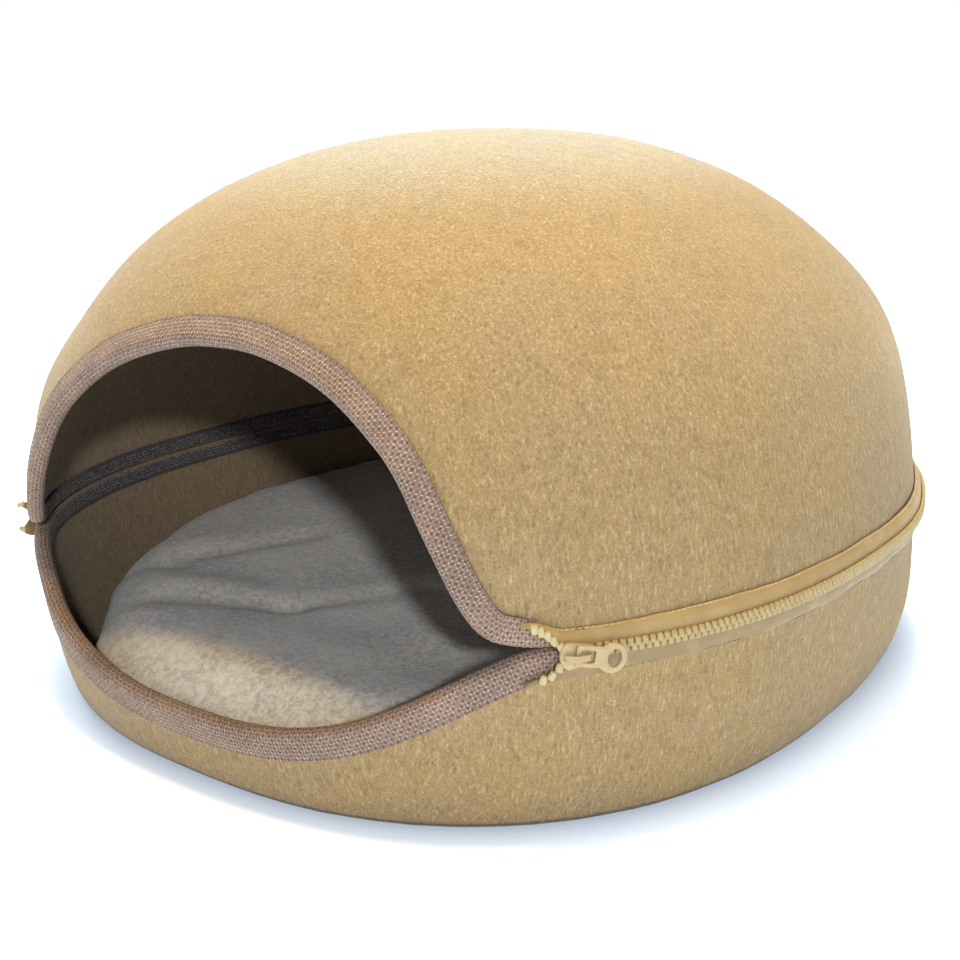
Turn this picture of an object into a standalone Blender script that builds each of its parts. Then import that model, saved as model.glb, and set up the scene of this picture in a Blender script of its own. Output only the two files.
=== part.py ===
# Felt cat cave: a moulded felt dome zipped onto a moulded felt bowl, with a loose cushion inside.
# Metres, +Z up. The origin is the centre of the underside and the opening faces -Y.
# A bearing is an angle about Z, in degrees, from the middle of the opening towards +X.

import bpy
import bmesh
from math import asin, atan2, cos, degrees, exp, pi, radians, sin
from mathutils import Matrix, Vector

# Plan and profile, outside the felt
HALF_WIDTH = 0.220      # along X at the waist
HALF_DEPTH = 0.234      # along Y at the waist
PLAN_POWER = 2.42       # 2 is an ellipse, more is squarer
WAIST_Z = 0.083         # the zip's line
TOP_Z = 0.275
RISE_POWER = 2.14       # dome profile, against height
REACH_POWER = 2.23      # dome profile, against radius
FOOT_SHARE = 0.933      # the flat underside, as a share of the waist
BOWL_POWER = 1.57
FELT = 0.005
CLEARANCE = 0.00045     # between touching pieces

# The felt is hand moulded, so its wall swells and dips a little
SWELLS = [
    dict(bearing=126, z=0.230, out=-0.0020, spread=0.035),
    dict(bearing=124, z=0.188, out=0.0016, spread=0.026),
    dict(bearing=120, z=0.108, out=-0.0054, spread=0.054),
    dict(bearing=113, z=0.030, out=0.0018, spread=0.030),
    dict(bearing=-32, z=0.055, out=-0.0018, spread=0.028),
    dict(bearing=-37, z=0.158, out=0.0012, spread=0.020),
    dict(bearing=-39, z=0.196, out=-0.0013, spread=0.020),
    dict(bearing=-150, z=0.170, out=-0.0015, spread=0.050),
]

# The opening: an arch cut in the dome and a dip cut in the bowl, which meet at two corners
CORNER_BEARING = 43.2
SKEW = 0.08             # moves the crown towards +X, as a share of the half-opening
ARCH_RISE = 0.108
ARCH_OUTLINE = [        # across: share of the half-opening, up: share of the rise
    dict(across=0.0, up=1.0),
    dict(across=0.16, up=0.985),
    dict(across=0.34, up=0.92),
    dict(across=0.47, up=0.828),
    dict(across=0.59, up=0.683),
    dict(across=0.645, up=0.578),
    dict(across=0.695, up=0.437),
    dict(across=0.74, up=0.30),
    dict(across=0.785, up=0.165),
    dict(across=0.83, up=0.067),
    dict(across=0.88, up=0.022),
    dict(across=1.0, up=0.0),
]
DIP_FALL = 0.046
DIP_POWERS = (2.8, 1.9)

# Folded binding over each felt edge
BINDING = 0.0013        # thickness of the tape
FOLD_REACH = 0.0020     # how far the fold stands past the felt's edge
OUTER_LEG_OPEN = 0.0105
OUTER_LEG_WAIST = 0.0058
INNER_LEG = 0.0080
LEG_CHANGE = (40.2, 43.3)   # bearings between which the outer leg narrows

# Zip, measured from the waist: up or down, and out from the felt
ZIP_START = 44.0        # bearing of the slider's end
ZIP_STOP = 316.4        # bearing of the far end
TAPE_SECTION = [        # one half of the zip's tape, as a bent sheet
    dict(up=0.00035, out=0.0036),
    dict(up=0.0062, out=0.0034),
    dict(up=0.0100, out=0.0016),
    dict(up=0.0101, out=0.0005),
    dict(up=0.0084, out=0.0021),
    dict(up=0.00035, out=0.0024),
]
CHAIN_START = 47.6
CHAIN_SECTION = [
    dict(up=-0.0029, out=0.0040),
    dict(up=0.0029, out=0.0040),
    dict(up=0.0024, out=0.0058),
    dict(up=-0.0024, out=0.0058),
]
END_WIDTH = 0.0036
END_FLOOR = 0.0022      # the splayed ends lie on the binding, this far out from the felt
ZIP_ENDS = {            # splayed teeth and tape ends: path and how far each point stands out
    "zip_end_upper": [
        dict(bearing=43.4, up=0.0026, top=0.0046),
        dict(bearing=43.1, up=0.0048, top=0.0046),
        dict(bearing=42.5, up=0.0070, top=0.0044),
        dict(bearing=41.6, up=0.0086, top=0.0042),
        dict(bearing=40.5, up=0.0094, top=0.0036),
    ],
    "zip_end_lower": [
        dict(bearing=43.2, up=-0.0028, top=0.0046),
        dict(bearing=43.1, up=-0.0070, top=0.0046),
        dict(bearing=42.6, up=-0.0106, top=0.0044),
        dict(bearing=41.7, up=-0.0124, top=0.0042),
        dict(bearing=40.4, up=-0.0124, top=0.0036),
    ],
    "zip_tail_upper": [
        dict(bearing=-42.8, up=0.0024, top=0.0052),
        dict(bearing=-42.5, up=0.0044, top=0.0068),
        dict(bearing=-42.0, up=0.0058, top=0.0076),
    ],
    "zip_tail_lower": [
        dict(bearing=-42.8, up=-0.0024, top=0.0052),
        dict(bearing=-42.4, up=-0.0048, top=0.0068),
        dict(bearing=-41.8, up=-0.0066, top=0.0076),
    ],
}

# Slider and pull, in a frame on the waist: along (away from the opening), up, out
SLIDER_BEARING = 45.6
SLIDER_NOSE = -0.0066
SLIDER_REAR = 0.0062
SLIDER_HALF_NOSE = 0.0046
SLIDER_HALF_REAR = 0.0037
SLIDER_FLOOR = 0.0041
SLIDER_THICK = 0.0026
BRIDGE_HALF = 0.0012
BRIDGE_HIGH = 0.0037
BRIDGE_LEGS = ((-0.0056, -0.0040), (0.0030, 0.0046))
BRIDGE_ROOF = 0.0011
PULL_THICK = 0.0012
PULL_LENGTH = 0.0248
PULL_HALF_BASE = 0.0042
PULL_HALF_NECK = 0.0036
PULL_RADIUS = 0.0059
PULL_START = (-0.0027, 0.0015)
PULL_SLOT = (0.0017, 0.0090, 0.0025)     # slot's start and end along the pull, half-width
PULL_EYE = (0.0188, 0.0026, 0.0035)      # eye's centre along the pull, half-length, half-width
PULL_SWING = -14.0      # it hangs a little down the wall
PULL_TILT = 3.0         # and its end leans on the zip
PULL_SEAT = 0.0009      # its bar lies this far over the slider

# Cushion on the bowl's floor
CUSHION_GAP = 0.004     # to the wall
CUSHION_DRAWN = dict(bearing=-54, depth=0.010, spread=22)
CUSHION_MID = 0.048     # height of the top over the underside
CUSHION_RISE = dict(bearing=-150, high=0.009)
CUSHION_CROWN = 0.002
CUSHION_EDGE = 0.013    # how far the rounded rim curves in
WRINKLES = [
    dict(bearing=-60, reach=0.150, along=35, length=0.070, width=0.014, high=0.0022),
    dict(bearing=-95, reach=0.120, along=60, length=0.080, width=0.016, high=0.0020),
    dict(bearing=-20, reach=0.110, along=75, length=0.085, width=0.018, high=-0.0020),
    dict(bearing=25, reach=0.140, along=-80, length=0.075, width=0.016, high=0.0016),
    dict(bearing=150, reach=0.110, along=20, length=0.090, width=0.020, high=-0.0018),
]

# Fineness
WAIST_STEPS = 40
ARCH_STEPS = 32
DIP_STEPS = 24
DOME_ROWS = 11
BOWL_ROWS = 7
ROW_CROWDING = 1.3      # rows lie closer together at the cut edge
CUSHION_STEPS = 44

COLOURS = {             # sRGB-like base colour, roughness, metallic
    "felt": ((0.60, 0.42, 0.20, 1), 0.95, 0),
    "binding": ((0.38, 0.29, 0.24, 1), 0.85, 0),
    "tape": ((0.68, 0.48, 0.20, 1), 0.80, 0),
    "teeth": ((0.80, 0.66, 0.32, 1), 0.45, 0),
    "slider": ((0.72, 0.56, 0.28, 1), 0.40, 0),
    "plush": ((0.32, 0.31, 0.30, 1), 0.95, 0),
}


def clear_scene():
    for thing in list(bpy.data.objects):
        bpy.data.objects.remove(thing, do_unlink=True)


def material(key):
    found = bpy.data.materials.get(key)
    if found:
        return found
    colour, rough, metal = COLOURS[key]
    made = bpy.data.materials.new(key)
    made.use_nodes = True
    shader = made.node_tree.nodes["Principled BSDF"]
    shader.inputs["Base Color"].default_value = colour
    shader.inputs["Roughness"].default_value = rough
    shader.inputs["Metallic"].default_value = metal
    made.diffuse_color = colour
    return made


def finish(name, bm, key, sharp=40):
    bmesh.ops.recalc_face_normals(bm, faces=bm.faces)
    mesh = bpy.data.meshes.new(name)
    bm.to_mesh(mesh)
    bm.free()
    mesh.materials.append(material(key))
    mesh.shade_smooth()
    mesh.set_sharp_from_angle(angle=radians(sharp))
    made = bpy.data.objects.new(name, mesh)
    bpy.context.scene.collection.objects.link(made)
    return made


# ---- the moulded surface ----

def smoothstep(low, high, value):
    share = min(max((value - low) / (high - low), 0.0), 1.0)
    return share * share * (3 - 2 * share)


def turn_between(bearing_a, bearing_b):
    return (bearing_a - bearing_b + 180) % 360 - 180


def plan_radius(bearing):
    angle = radians(bearing - 90)
    across = abs(cos(angle) / HALF_WIDTH) ** PLAN_POWER
    along = abs(sin(angle) / HALF_DEPTH) ** PLAN_POWER
    return (across + along) ** (-1 / PLAN_POWER)


def swelling(bearing, z):
    total = 0.0
    for swell in SWELLS:
        turn = radians(turn_between(bearing, swell["bearing"])) * HALF_WIDTH
        near = (turn ** 2 + (z - swell["z"]) ** 2) / swell["spread"] ** 2
        total += swell["out"] * exp(-near)
    return total


def wall_radius(bearing, z):
    """Radius of the felt's outer face at a height."""
    plan = plan_radius(bearing)
    if z >= WAIST_Z:
        high = min((z - WAIST_Z) / (TOP_Z - WAIST_Z), 1.0)
        share = (1 - high ** RISE_POWER) ** (1 / REACH_POWER)
    else:
        low = min((WAIST_Z - z) / WAIST_Z, 1.0)
        share = FOOT_SHARE + (1 - FOOT_SHARE) * (1 - low ** BOWL_POWER) ** (1 / BOWL_POWER)
    return plan * share + swelling(bearing, z) * min(share * 2, 1.0)


def place(bearing, radius, z):
    angle = radians(bearing - 90)
    return Vector((radius * cos(angle), radius * sin(angle), z))


def wall_point(bearing, z):
    return place(bearing, wall_radius(bearing, z), z)


def wall_normal(bearing, z, low=0.0, high=TOP_Z):
    turn = 0.05
    step = 0.0002
    aside = wall_point(bearing + turn, z) - wall_point(bearing - turn, z)
    upward = wall_point(bearing, min(z + step, high)) - wall_point(bearing, max(z - step, low))
    normal = aside.cross(upward)
    return normal.normalized() if normal.length > 1e-12 else Vector((0, 0, 1))


def skin(bearing, z, depth):
    """A point at a depth inside the felt's outer face; a negative depth stands out from it."""
    return wall_point(bearing, z) - wall_normal(bearing, z) * depth


# ---- the two cut edges ----

def table_value(table, x, key_in, key_out):
    """A smooth curve through a table's rows."""
    xs = [row[key_in] for row in table]
    ys = [row[key_out] for row in table]
    slopes = []
    for i in range(len(xs)):
        before, after = max(i - 1, 0), min(i + 1, len(xs) - 1)
        slopes.append((ys[after] - ys[before]) / (xs[after] - xs[before]))
    slopes[0] = 0.0
    slopes[-1] = 0.0
    for i in range(len(xs) - 1):
        if x <= xs[i + 1]:
            span = xs[i + 1] - xs[i]
            t = (x - xs[i]) / span
            start, end = ys[i], ys[i + 1]
            return (
                start * (1 + 2 * t) * (1 - t) ** 2 + slopes[i] * span * t * (1 - t) ** 2
                + end * t * t * (3 - 2 * t) + slopes[i + 1] * span * t * t * (t - 1)
            )
    return ys[-1]


def opening_share(bearing):
    """Place across the opening, 0 at its crown and 1 at its corners."""
    share = turn_between(bearing, 0) / CORNER_BEARING
    if abs(share) >= 1:
        return 1.0
    return abs(share - SKEW * (1 - share * share))


def dome_edge(bearing):
    """Height of the dome's cut felt edge."""
    rise = ARCH_RISE * table_value(ARCH_OUTLINE, opening_share(bearing), "across", "up")
    return WAIST_Z + rise + FOLD_REACH + CLEARANCE / 2


def bowl_edge(bearing):
    """Height of the bowl's cut felt edge."""
    inner, outer = DIP_POWERS
    fall = DIP_FALL * (1 - opening_share(bearing) ** inner) ** outer
    return WAIST_Z - fall - FOLD_REACH - CLEARANCE / 2


def even_bearings(edge, first, last, steps):
    """Bearings evenly spaced along an edge, without the last one."""
    fine = 600
    turns = [first + (last - first) * i / fine for i in range(fine + 1)]
    points = [wall_point(turn, edge(turn)) for turn in turns]
    run = [0.0]
    for a, b in zip(points, points[1:]):
        run.append(run[-1] + (b - a).length)
    found = []
    index = 0
    for k in range(steps):
        goal = run[-1] * k / steps
        while run[index + 1] < goal:
            index += 1
        share = (goal - run[index]) / (run[index + 1] - run[index])
        found.append(turns[index] + share * (turns[index + 1] - turns[index]))
    return found


def edge_bearings(edge, steps):
    """Columns round a whole edge: the opening's, then the waist's, which both edges share."""
    opening = even_bearings(edge, -CORNER_BEARING, CORNER_BEARING, steps)
    return opening + waist_bearings()


def waist_bearings():
    return even_bearings(lambda turn: WAIST_Z, CORNER_BEARING, 360 - CORNER_BEARING, WAIST_STEPS)


# ---- meshes from rings of points ----

def ring_faces(bm, first, second, closed=True):
    count = len(first)
    for i in range(count if closed else count - 1):
        j = (i + 1) % count
        bm.faces.new((first[i], first[j], second[j], second[i]))


def add_ring(bm, points):
    return [bm.verts.new(point) for point in points]


def shell(name, outer_rows, inner_rows, outer_tip, inner_tip):
    """A cup of felt: rows of points run from the cut edge to a tip, outside and inside."""
    bm = bmesh.new()
    for rows, tip in ((outer_rows, outer_tip), (inner_rows, inner_tip)):
        rings = [add_ring(bm, row) for row in rows]
        for a, b in zip(rings, rings[1:]):
            ring_faces(bm, a, b)
        centre = bm.verts.new(tip)
        last = rings[-1]
        for i in range(len(last)):
            bm.faces.new((last[i], last[(i + 1) % len(last)], centre))
        if rows is outer_rows:
            outer_edge = rings[0]
        else:
            ring_faces(bm, outer_edge, rings[0])
    return finish(name, bm, "felt", 60)


def make_dome():
    columns = edge_bearings(dome_edge, ARCH_STEPS)
    outer_rows = []
    inner_rows = []
    for row in range(DOME_ROWS):
        outer = []
        inner = []
        for bearing in columns:
            share = (dome_edge(bearing) - WAIST_Z) / (TOP_Z - WAIST_Z)
            start = asin(share ** (RISE_POWER / 2))
            angle = start + (pi / 2 - start) * (row / DOME_ROWS) ** ROW_CROWDING
            z = WAIST_Z + (TOP_Z - WAIST_Z) * sin(angle) ** (2 / RISE_POWER)
            outer.append(skin(bearing, z, 0.0))
            inner.append(skin(bearing, z, FELT))
        outer_rows.append(outer)
        inner_rows.append(inner)
    top = Vector((0, 0, TOP_Z))
    return shell("dome_felt", outer_rows, inner_rows, top, top - Vector((0, 0, FELT)))


def make_bowl():
    columns = edge_bearings(bowl_edge, DIP_STEPS)
    outer_rows = []
    inner_rows = []
    for row in range(BOWL_ROWS):
        outer = []
        inner = []
        for bearing in columns:
            share = (WAIST_Z - bowl_edge(bearing)) / WAIST_Z
            start = asin(share ** (BOWL_POWER / 2))
            angle = start + (pi / 2 - start) * (row / BOWL_ROWS) ** ROW_CROWDING
            z = WAIST_Z * (1 - sin(angle) ** (2 / BOWL_POWER))
            outer.append(skin(bearing, z, 0.0))
            point = skin(bearing, z, FELT)
            point.z = max(point.z, FELT)
            inner.append(point)
        outer_rows.append(outer)
        inner_rows.append(inner)
    for foot in (1.0, 0.6):
        reach = [plan_radius(bearing) * FOOT_SHARE * foot for bearing in columns]
        outer_rows.append([place(b, r, 0.0) for b, r in zip(columns, reach)])
        inner_rows.append([place(b, r - FELT, FELT) for b, r in zip(columns, reach)])
    return shell("bowl_felt", outer_rows, inner_rows, Vector((0, 0, 0)), Vector((0, 0, FELT)))


def binding_section(outer_leg):
    """Closed section: into (from the felt's edge into the cloth), depth (from the outer face)."""
    stand = CLEARANCE + BINDING
    middle = FELT / 2
    half = middle + stand
    round_from = 0.0015
    reach = FOLD_REACH + round_from
    fold = []
    for angle in (90, 45, 0, -45, -90):
        into = round_from - reach * cos(radians(angle))
        fold.append((into, middle - half * sin(radians(angle))))
    inside = [
        (INNER_LEG, FELT + stand),
        (INNER_LEG, FELT + CLEARANCE),
        (-CLEARANCE, FELT + CLEARANCE),
        (-CLEARANCE, -CLEARANCE),
        (outer_leg, -CLEARANCE),
    ]
    return [(outer_leg, -stand)] + fold + inside


def make_binding(name, edge, steps, into_sign):
    bearings = edge_bearings(edge, steps)
    bm = bmesh.new()
    rings = []
    for bearing in bearings:
        turn = 0.15
        foot = wall_point(bearing, edge(bearing))
        tangent = wall_point(bearing + turn, edge(bearing + turn))
        tangent -= wall_point(bearing - turn, edge(bearing - turn))
        into = wall_normal(bearing, edge(bearing)).cross(tangent.normalized()) * into_sign
        narrow = smoothstep(*LEG_CHANGE, abs(turn_between(bearing, 0)))
        leg = OUTER_LEG_OPEN + (OUTER_LEG_WAIST - OUTER_LEG_OPEN) * narrow
        ring = []
        for reach, depth in binding_section(leg):
            spot = foot + into * reach
            around = degrees(atan2(spot.y, spot.x)) + 90
            ring.append(skin(around, spot.z, depth))
        rings.append(add_ring(bm, ring))
    for i in range(len(rings)):
        ring_faces(bm, rings[i], rings[(i + 1) % len(rings)])
    return finish(name, bm, "binding", 50)


# ---- zip ----

def sweep(name, key, rings):
    bm = bmesh.new()
    made = [add_ring(bm, ring) for ring in rings]
    for a, b in zip(made, made[1:]):
        ring_faces(bm, a, b)
    bm.faces.new(made[0])
    bm.faces.new(list(reversed(made[-1])))
    return finish(name, bm, key)


def zip_point(bearing, up, out):
    """A point beside the waist, standing out from the wall at its own height."""
    level = wall_normal(bearing, WAIST_Z + up)
    level.z = 0
    return wall_point(bearing, WAIST_Z + up) + level.normalized() * out


def zip_bearings(start, stop):
    inner = [turn for turn in waist_bearings() if start + 0.5 < turn < stop - 0.5]
    return [start] + inner + [stop]


def make_tape(name, side):
    rings = []
    for bearing in zip_bearings(ZIP_START, ZIP_STOP):
        rings.append([zip_point(bearing, side * row["up"], row["out"]) for row in TAPE_SECTION])
    return sweep(name, "tape", rings)


def make_chain():
    rings = []
    for bearing in zip_bearings(CHAIN_START, ZIP_STOP):
        rings.append([zip_point(bearing, row["up"], row["out"]) for row in CHAIN_SECTION])
    return sweep("zip_chain", "teeth", rings)


def make_zip_end(name, path):
    spots = [(row["bearing"], row["up"], row["top"]) for row in path]
    flat = [Vector((radians(b) * HALF_WIDTH, up)) for b, up, top in spots]
    rings = []
    for i, (bearing, up, top) in enumerate(spots):
        before, after = flat[max(i - 1, 0)], flat[min(i + 1, len(flat) - 1)]
        run = (after - before).normalized()
        side = Vector((-run.y, run.x)) * END_WIDTH / 2
        ring = []
        for across, out in ((-1, END_FLOOR), (1, END_FLOOR), (0.7, top), (-0.7, top)):
            turn = degrees(side.x * across / HALF_WIDTH)
            ring.append(zip_point(bearing + turn, up + side.y * across, out))
        rings.append(ring)
    return sweep(name, "teeth", rings)


# ---- slider and pull ----

def slider_frame():
    """Columns: along the zip away from the opening, up, and out."""
    out = wall_normal(SLIDER_BEARING, WAIST_Z)
    out.z = 0
    out.normalize()
    up = Vector((0, 0, 1))
    along = up.cross(out)
    frame = Matrix((along, up, out)).transposed().to_4x4()
    frame.translation = wall_point(SLIDER_BEARING, WAIST_Z)
    return frame


def slab(bm, outline, floor, thick):
    """A flat plate of an outline given in order, standing on a floor."""
    low = [bm.verts.new((x, y, floor)) for x, y in outline]
    face = bm.faces.new(low)
    made = bmesh.ops.extrude_face_region(bm, geom=[face])
    top = [item for item in made["geom"] if isinstance(item, bmesh.types.BMVert)]
    bmesh.ops.translate(bm, verts=top, vec=(0, 0, thick))
    bmesh.ops.recalc_face_normals(bm, faces=bm.faces)


def soften(bm, width):
    """A small round on a plate's sharp rims."""
    rims = [edge for edge in bm.edges if edge.is_manifold and edge.calc_face_angle() > radians(50)]
    bmesh.ops.bevel(bm, geom=rims, offset=width, segments=1, profile=0.5, affect="EDGES")


def as_object(name, bm, key, keep=True):
    made = finish(name, bm, key, 30)
    if not keep:
        made.hide_render = True
        made.display_type = "WIRE"
    return made


def boolean(target, other, operation):
    cut = target.modifiers.new(operation.lower(), "BOOLEAN")
    cut.operation = operation
    cut.object = other
    cut.solver = "EXACT"


def slider_outline():
    """A shield, wider and rounder at the nose."""
    points = []
    for k in range(9):
        angle = radians(90 + 180 * k / 8)
        points.append((SLIDER_NOSE * 0.55 + 0.0030 * cos(angle), SLIDER_HALF_NOSE * sin(angle)))
    for k in range(3):
        angle = radians(-90 + 45 * k)
        points.append((SLIDER_REAR - 0.0012 + 0.0012 * cos(angle),
                       -SLIDER_HALF_REAR + 0.0012 + 0.0012 * sin(angle)))
    for k in range(3):
        angle = radians(0 + 45 * k)
        points.append((SLIDER_REAR - 0.0012 + 0.0012 * cos(angle),
                       SLIDER_HALF_REAR - 0.0012 + 0.0012 * sin(angle)))
    return points


def box_outline(x0, x1, half):
    return [(x0, -half), (x1, -half), (x1, half), (x0, half)]


def make_slider():
    frame = slider_frame()
    bm = bmesh.new()
    slab(bm, slider_outline(), SLIDER_FLOOR, SLIDER_THICK)
    soften(bm, 0.0004)
    body = as_object("slider_body", bm, "slider")
    top = SLIDER_FLOOR + SLIDER_THICK
    bm = bmesh.new()
    front, back = BRIDGE_LEGS
    slab(bm, box_outline(front[0], back[1], BRIDGE_HALF), top - 0.0005, BRIDGE_HIGH + 0.0005)
    soften(bm, 0.0003)
    bridge = as_object("bridge_form", bm, "slider", keep=False)
    bm = bmesh.new()
    sunk = 0.001
    tunnel = BRIDGE_HIGH - BRIDGE_ROOF + sunk
    slab(bm, box_outline(front[1], back[0], BRIDGE_HALF * 2), top - sunk, tunnel)
    tunnel_form = as_object("tunnel_form", bm, "slider", keep=False)
    boolean(bridge, tunnel_form, "DIFFERENCE")
    boolean(body, bridge, "UNION")
    for thing in (body, bridge, tunnel_form):
        thing.matrix_world = frame
    return body


def pull_outline():
    """Base, waist and round end, along the pull from its pivot bar."""
    shoulder = 0.0105
    neck = 0.0132
    centre = PULL_LENGTH - PULL_RADIUS
    points = [(0.0008, -PULL_HALF_BASE), (shoulder, -PULL_HALF_BASE), (neck, -PULL_HALF_NECK)]
    for k in range(13):
        angle = radians(-135 + 270 * k / 12)
        points.append((centre + PULL_RADIUS * cos(angle), PULL_RADIUS * sin(angle)))
    points += [(neck, PULL_HALF_NECK), (shoulder, PULL_HALF_BASE), (0.0008, PULL_HALF_BASE)]
    points += [(0.0, PULL_HALF_BASE - 0.0008), (0.0, -PULL_HALF_BASE + 0.0008)]
    return points


def make_pull():
    bm = bmesh.new()
    slab(bm, pull_outline(), 0.0, PULL_THICK)
    soften(bm, 0.0003)
    pull = as_object("slider_pull", bm, "slider")
    start, end, half = PULL_SLOT
    bm = bmesh.new()
    slab(bm, box_outline(start, end, half), -PULL_THICK, PULL_THICK * 3)
    slot = as_object("slot_form", bm, "slider", keep=False)
    middle, half_length, half_width = PULL_EYE
    ring = [radians(30 * k) for k in range(12)]
    bm = bmesh.new()
    oval = [(middle + half_length * cos(a), half_width * sin(a)) for a in ring]
    slab(bm, oval, -PULL_THICK, PULL_THICK * 3)
    eye = as_object("eye_form", bm, "slider", keep=False)
    boolean(pull, slot, "DIFFERENCE")
    boolean(pull, eye, "DIFFERENCE")
    seat = SLIDER_FLOOR + SLIDER_THICK + PULL_SEAT
    lay = Matrix.Translation((*PULL_START, seat))
    lay = lay @ Matrix.Rotation(radians(PULL_SWING), 4, "Z") @ Matrix.Rotation(radians(PULL_TILT), 4, "Y")
    for thing in (pull, slot, eye):
        thing.matrix_world = slider_frame() @ lay
    return pull


# ---- cushion ----

def wrinkle_height(x, y):
    total = 0.0
    for fold in WRINKLES:
        centre = place(fold["bearing"], fold["reach"], 0)
        along = radians(fold["along"])
        dx, dy = x - centre.x, y - centre.y
        run = dx * cos(along) + dy * sin(along)
        off = -dx * sin(along) + dy * cos(along)
        total += fold["high"] * exp(-(run / fold["length"]) ** 2 - (off / fold["width"]) ** 2)
    return total


def cushion_radius(bearing):
    drawn = turn_between(bearing, CUSHION_DRAWN["bearing"]) / CUSHION_DRAWN["spread"]
    wall = wall_radius(bearing, 0.022) - FELT
    return wall - CUSHION_GAP - CUSHION_DRAWN["depth"] * exp(-drawn * drawn)


def cushion_top(bearing, share):
    lift = CUSHION_RISE["high"] * cos(radians(bearing - CUSHION_RISE["bearing"]))
    return CUSHION_MID + lift * share + CUSHION_CROWN * (1 - share * share)


def make_cushion():
    floor = FELT + CLEARANCE
    turns = [360 * k / CUSHION_STEPS for k in range(CUSHION_STEPS)]
    bm = bmesh.new()
    base = bm.verts.new((0, 0, floor))
    rings = []
    for inset in (CUSHION_EDGE * 1.6, CUSHION_EDGE * 0.75):
        rings.append([place(b, cushion_radius(b) - inset, floor) for b in turns])
    for angle in (-40, 0, 40, 68):
        ring = []
        for b in turns:
            reach = cushion_radius(b)
            top = cushion_top(b, 1.0)
            middle = (floor + top) / 2
            half = (top - floor) / 2
            radius = reach - CUSHION_EDGE * (1 - cos(radians(angle)))
            ring.append(place(b, radius, middle + half * sin(radians(angle))))
        rings.append(ring)
    for share in (0.88, 0.70, 0.50, 0.28):
        ring = []
        for b in turns:
            spot = place(b, cushion_radius(b) * share, cushion_top(b, share))
            spot.z += wrinkle_height(spot.x, spot.y)
            ring.append(spot)
        rings.append(ring)
    made = [add_ring(bm, ring) for ring in rings]
    for a, b in zip(made, made[1:]):
        ring_faces(bm, a, b)
    crown = bm.verts.new((0, 0, cushion_top(0, 0) + wrinkle_height(0, 0)))
    for ring, tip in ((made[0], base), (made[-1], crown)):
        for i in range(len(ring)):
            bm.faces.new((ring[i], ring[(i + 1) % len(ring)], tip))
    return finish("cushion", bm, "plush", 80)


def main():
    clear_scene()
    make_dome()
    make_bowl()
    make_binding("dome_binding", dome_edge, ARCH_STEPS, 1)
    make_binding("bowl_binding", bowl_edge, DIP_STEPS, -1)
    make_tape("zip_tape_upper", 1)
    make_tape("zip_tape_lower", -1)
    make_chain()
    for name, path in ZIP_ENDS.items():
        make_zip_end(name, path)
    make_slider()
    make_pull()
    make_cushion()


main()
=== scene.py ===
import bmesh
import bpy
import numpy as np
from math import copysign, cos, pi, radians, sin
from mathutils import Matrix, Vector, noise


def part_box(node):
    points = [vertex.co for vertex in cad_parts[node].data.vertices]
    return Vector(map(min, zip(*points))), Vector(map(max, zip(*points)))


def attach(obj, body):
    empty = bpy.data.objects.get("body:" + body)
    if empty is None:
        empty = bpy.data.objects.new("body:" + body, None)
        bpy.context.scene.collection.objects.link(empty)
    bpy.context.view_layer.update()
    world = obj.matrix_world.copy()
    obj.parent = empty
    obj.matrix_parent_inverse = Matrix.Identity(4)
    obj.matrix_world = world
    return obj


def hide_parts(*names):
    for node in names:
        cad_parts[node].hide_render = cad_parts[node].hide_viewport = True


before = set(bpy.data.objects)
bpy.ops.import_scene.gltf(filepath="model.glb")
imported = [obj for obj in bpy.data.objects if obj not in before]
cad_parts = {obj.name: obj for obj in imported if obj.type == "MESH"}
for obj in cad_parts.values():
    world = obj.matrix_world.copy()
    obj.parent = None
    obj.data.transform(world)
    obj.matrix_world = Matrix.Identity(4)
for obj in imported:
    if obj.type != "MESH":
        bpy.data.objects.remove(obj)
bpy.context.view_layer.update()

# Metres, +Z up, the opening faces -Y. A bearing is an angle about Z, in degrees,
# from the middle of the opening towards +X.
form = dict(
    halfWidth=0.220, halfDepth=0.234, planPower=2.42,
    waist=0.083, top=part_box("dome_felt")[1].z,
    risePower=2.14, reachPower=2.23, footShare=0.933, bowlPower=1.57,
    felt=0.005, clearance=0.00045,
    cornerBearing=43.2, skew=0.08, archRise=0.108, dipFall=0.046, dipPowers=(2.8, 1.9),
)
# the hand-moulded wall swells and dips: bearing, height, out, spread
swells = [
    (126, 0.230, -0.0020, 0.035), (124, 0.188, 0.0016, 0.026), (120, 0.108, -0.0054, 0.054),
    (113, 0.030, 0.0018, 0.030), (-32, 0.055, -0.0018, 0.028), (-37, 0.158, 0.0012, 0.020),
    (-39, 0.196, -0.0013, 0.020), (-150, 0.170, -0.0015, 0.050),
]
# the arch: across as a share of the half-opening, up as a share of the rise
archOutline = [
    (0.0, 1.0), (0.16, 0.985), (0.34, 0.92), (0.47, 0.828), (0.59, 0.683), (0.645, 0.578),
    (0.695, 0.437), (0.74, 0.30), (0.785, 0.165), (0.83, 0.067), (0.88, 0.022), (1.0, 0.0),
]


def turnBetween(first, second):
    return (first - second + 180) % 360 - 180


def smoothStep(low, high, value):
    share = np.clip((value - low) / (high - low), 0, 1)
    return share * share * (3 - 2 * share)


def planRadius(bearing):
    angle = np.radians(bearing - 90)
    across = np.abs(np.cos(angle) / form["halfWidth"]) ** form["planPower"]
    along = np.abs(np.sin(angle) / form["halfDepth"]) ** form["planPower"]
    return (across + along) ** (-1 / form["planPower"])


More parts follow.
